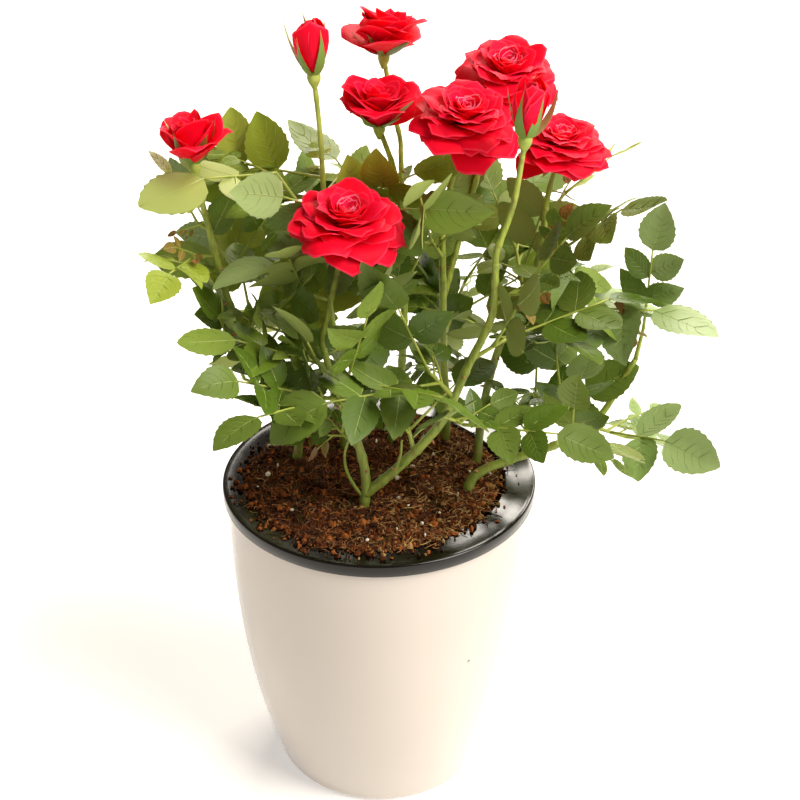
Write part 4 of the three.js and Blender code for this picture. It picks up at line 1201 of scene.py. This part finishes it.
# Leaf tissue under a thin wax: a soft sheen on top, and a duller, paler underside. Each tone's
# colours are a darker leaflet, a lighter one, the underside and the veins. The sprays not named here
# are deep green, and small leaves are bronze where the growth is new.
LEAF_TONES = {
    "deep": ("#4E6816", "#62782A", "#8C9A50", "#6C8430"),
    "mid": ("#647E20", "#788E34", "#9AA858", "#829A3C"),
    "grey": ("#7E9850", "#92A868", "#AEBC8A", "#98AE6C"),
    # The young tone's yellow green is painted light: it stands in for light shining through backlit leaves.
    "young": ("#8C9E28", "#A0AC3C", "#B8C25C", "#A8B446"),
    "bronze": ("#84722A", "#946230", "#A26C3A", "#9C7A38"),
}
SPRAYS_OF_TONE = {
    "mid": ("left_upper", "top_left", "back_left", "back_top", "front_upper", "centre_left",
            "front_right", "right_middle", "high_upper", "back_middle", "centre_back", "high_back",
            "left_inner", "left_low"),
    "grey": ("centre_top", "right_far", "right_upper", "right_low"),
    # These sprays take the young tone, whose yellow green is painted backlight.
    "young": ("left_tip", "left_top", "top_back_left", "left_back", "high_tip"),
}
NEW_GROWTH = ("left_top", "left_middle", "high_tip", "high_upper", "arching_upper", "left_tip",
              "right_far", "centre_top", "front_low")
TONE_OF = {name: tone for tone, names in SPRAYS_OF_TONE.items() for name in names}


def leaflets_of(tone):
    """The root, way, normal and length of every leaflet of a tone, as four arrays."""
    leaves = []
    for node, spray in sprays.items():
        name = node.removeprefix("foliage_")
        main = TONE_OF.get(name, "deep")
        leaves += spray["leaves"] if main == tone else []
        leaves += spray["small"] if ("bronze" if name in NEW_GROWTH else main) == tone else []
    rows = [(leaf["root"] + leaf["direction"] * place, way, normal, length)
            for leaf in leaves for place, way, normal, length in leaf["leaflets"]]
    return [np.array(column) for column in zip(*rows)]


def blade_piece(name, points, materials, top_tones):
    """A piece of many blades. Each top takes the material that `top_tones` gives it, and all the
    undersides take the last one."""
    count, stride = points.shape[:2]
    upper, lower = by_size(UPPER, count, stride), by_size(LOWER, count, stride)
    tops = [np.repeat(top_tones, len(block) // count) for block in upper]
    below = np.full(sum(map(len, lower)), len(materials) - 1)
    which = np.concatenate([*tops, below])
    creased(mesh_piece(name, points.reshape(-1, 3), upper + lower, materials, which=which), 60)


VEINS = TEETH - 3  # on each side of the middle
VEIN_RADII = (0.13, 0.1, 0.04)
RIB_RADII = (0.42, 0.36, 0.3, 0.25, 0.2, 0.1)


def veins_of(points, normal):
    """Paths from the middle line to the edge, on each side, a little above the leaflet's top."""
    mid, half, edge = (points[:, KINDS == kind] for kind in ("mid", "half", "edge"))
    paths = []
    for hand in range(2):
        side = slice(hand * (TEETH - 1), (hand + 1) * (TEETH - 1))
        for k in range(VEINS):
            end = 0.4 * half[:, side][:, k + 2] + 0.6 * edge[:, side][:, k + 2]
            path = np.stack([mid[:, k], half[:, side][:, k + 1], end], 1)
            paths.append(path + normal[:, None] * 0.02)
    return paths


random = np.random.default_rng(21)
rib_lines, vein_lines, vein_counts, vein_tones = [], [], [], []
for tone, (dark, light, under, vein) in LEAF_TONES.items():
    root, way, normal, length = leaflets_of(tone)
    count = len(length)
    width = length * LEAF["width"] * random.uniform(0.86, 1.1, count)
    points = blades(root, way, normal, length, width, random.uniform(-0.24, -0.03, count), random)
    finishes = [finish_of(f"rose_leaf_{tone}_dark", dark, 0.44, Specular_IOR_Level=0.45)[0],
                finish_of(f"rose_leaf_{tone}_light", light, 0.5, Specular_IOR_Level=0.4)[0],
                finish_of(f"rose_leaf_{tone}_under", under, 0.6, Specular_IOR_Level=0.3)[0]]
    blade_piece(f"leaves_{tone}", points, finishes, random.integers(0, 2, count))
    middle = np.concatenate([points[:, :1], points[:, KINDS == "mid"][:, 1::2], points[:, 1:2]], 1)
    rib_lines.append(middle - normal[:, None] * 0.12)
    vein_lines += veins_of(points, normal)
    vein_counts.append(2 * VEINS * count)
    vein_tones.append(finish_of(f"rose_leaf_{tone}_vein", vein, 0.5)[0])

vein_lines, rib_lines = np.concatenate(vein_lines), np.concatenate(rib_lines)
points, faces = tubes(vein_lines, np.broadcast_to(VEIN_RADII, vein_lines.shape[:2]), 3)
tone = np.repeat(np.arange(len(vein_counts)), vein_counts)
tone = np.concatenate([np.repeat(tone, 6), tone, tone])
mesh_piece("leaf_veins", points, faces, vein_tones, which=tone)
points, faces = tubes(rib_lines, np.broadcast_to(RIB_RADII[:rib_lines.shape[1]], rib_lines.shape[:2]), 3)
rib_green = finish_of("leaf_rib_pale", "#A3B266", 0.55)[0]
mesh_piece("leaf_ribs", points, faces, [rib_green])

# ------------------------------------------------------------------ sepals and bracts
# Five narrow green sepals stand out from the hip under each bloom, drawn out to long tips and paler
# inside. A few bracts of the same kind grow along the arching cane.

BRACT_HEIGHTS = (191, 199, 208, 221, 238)


def sepals(rose, seed):
    """The root, way, normal, length, width and bend of each of the five, which lean out level and
    then rise by the form's own angle."""
    rise, length, width, bend = FORMS[rose["form"]]["sepals"]
    random = np.random.default_rng(80 + seed)
    turn = np.stack(rose["frame"])
    rows = []
    for k in range(5):
        angle = 2 * np.pi * (k + 0.3) / 5
        level = np.array([np.cos(angle), np.sin(angle), 0])
        lift = np.radians(rise + random.normal(0, 5))
        way = level * np.cos(lift) + UP * np.sin(lift)
        normal = square_to(UP, way)
        own_length = length * rose["width"] * random.uniform(0.85, 1.15)
        root = placed(rose, level * 2.2 + UP * 0.6)
        rows.append((root, way @ turn, normal @ turn, own_length, width * rose["width"], bend))
    return rows


def bract(k, height):
    """The same of a bract, which stands on one side of the cane or the other by turns."""
    point, along, radius, _ = cane_at("cane_arching", height)
    side = unit(np.cross(along, UP)) * (1 if k % 2 else -1)
    way = unit(along + side * 0.5 + UP * 0.5)
    return point + side * radius * 0.7, way, square_to(UP, way), 5.5 + 1.5 * (k % 3), 1.9, 0.1


rows = [row for seed, rose in enumerate(ROSES.values()) for row in sepals(rose, seed)]
rows += [bract(k, height) for k, height in enumerate(BRACT_HEIGHTS)]
points = blades(*map(np.array, zip(*rows)), np.random.default_rng(81), taper=(1.4, 1.8))
# Leafy tissue: matt and pale inside, a deeper green with a little sheen outside.
sepal_tones = [finish_of("sepal_inner_pale", "#A9BC7E", 0.6)[0],
               finish_of("sepal_outer_green", "#6F8E3A", 0.5)[0]]
blade_piece("sepals", points, sepal_tones, np.zeros(len(rows), int))

# ------------------------------------------------------------------ floor, light and camera
# A plain pale floor that glows a little, a broad sun from the upper right, a softbox at the right
# front, a window panel behind, and a pale sky that shows brighter than it lights.

# The floor is opal acrylic over a weak lamp: matt and even, without a reflection.
FLOOR = {"sides": 8.0, "front": -4.0, "back": 12.0, "height": -0.0005}
floor_mesh = bpy.data.meshes.new("floor")
floor_corners = [(x * FLOOR["sides"], FLOOR[end], FLOOR["height"])
                 for x, end in ((-1, "front"), (1, "front"), (1, "back"), (-1, "back"))]
floor_mesh.from_pydata(floor_corners, [], [(0, 1, 2, 3)])
floor_finish, _ = finish_of("floor_light_table", "#E8E6E2", 0.9, Specular_IOR_Level=0.1,
                            Emission_Color=linear("#FFFFFF"), Emission_Strength=0.4)
floor_mesh.materials.append(floor_finish)
floor = bpy.data.objects.new("floor", floor_mesh)
bpy.context.collection.objects.link(floor)


def soft_light(name, place, target, size, power, colour):
    """An area light at a place, facing the target."""
    light = bpy.data.lights.new(name, "AREA")
    light.shape, light.size, light.size_y = "RECTANGLE", size[0], size[1]
    light.energy, light.color = power, linear(colour)[:3]
    lamp = bpy.data.objects.new(name, light)
    bpy.context.collection.objects.link(lamp)
    away = unit(np.array(place) - np.array(target))
    right = unit(np.cross(UP, away))
    matrix = np.eye(4)
    matrix[:3, :3] = np.stack([right, np.cross(away, right), away], 1)
    matrix[:3, 3] = place
    lamp.matrix_world = Matrix(matrix.tolist())


CENTRE = (0.02, 0.0, 0.26)
SKY_AS_LIGHT, SKY_AS_SEEN = 0.23, 1.35
soft_light("window_back", (0.45, 1.3, 1.1), CENTRE, (1.0, 0.55), 26, "#FFF8EC")
soft_light("softbox_right", (1.25, -0.75, 1.1), CENTRE, (0.9, 0.9), 15, "#FFF9F0")
sun = bpy.data.lights.new("sun", "SUN")
sun.energy, sun.angle, sun.color = 2.95, np.radians(36), linear("#FFF9F0")[:3]
key = bpy.data.objects.new("sun", sun)
key.rotation_euler = (np.radians(38), 0, np.radians(66))
bpy.context.collection.objects.link(key)
world = bpy.data.worlds.new("studio")
bpy.context.scene.world = world
world.use_nodes = True
sky = world.node_tree.nodes["Background"]
sky.inputs["Color"].default_value = linear("#FFEDDA")
seen = add_node(world, "ShaderNodeLightPath")
strength = add_node(world, "ShaderNodeMapRange", inputs={
    "Value": seen.outputs["Is Camera Ray"], "To Min": SKY_AS_LIGHT, "To Max": SKY_AS_SEEN})
world.node_tree.links.new(strength.outputs["Result"], sky.inputs["Strength"])
bpy.context.scene.view_settings.view_transform = "Standard"

camera = bpy.data.cameras.new("camera")
camera.sensor_width, camera.lens = 36.0, 65.67
camera.clip_start = 0.01
view = bpy.data.objects.new("camera", camera)
view.location = (0.0107, -0.6304, 0.5790)
view.rotation_euler = (np.radians(60.1), 0, 0)
bpy.context.collection.objects.link(view)
bpy.context.scene.camera = view
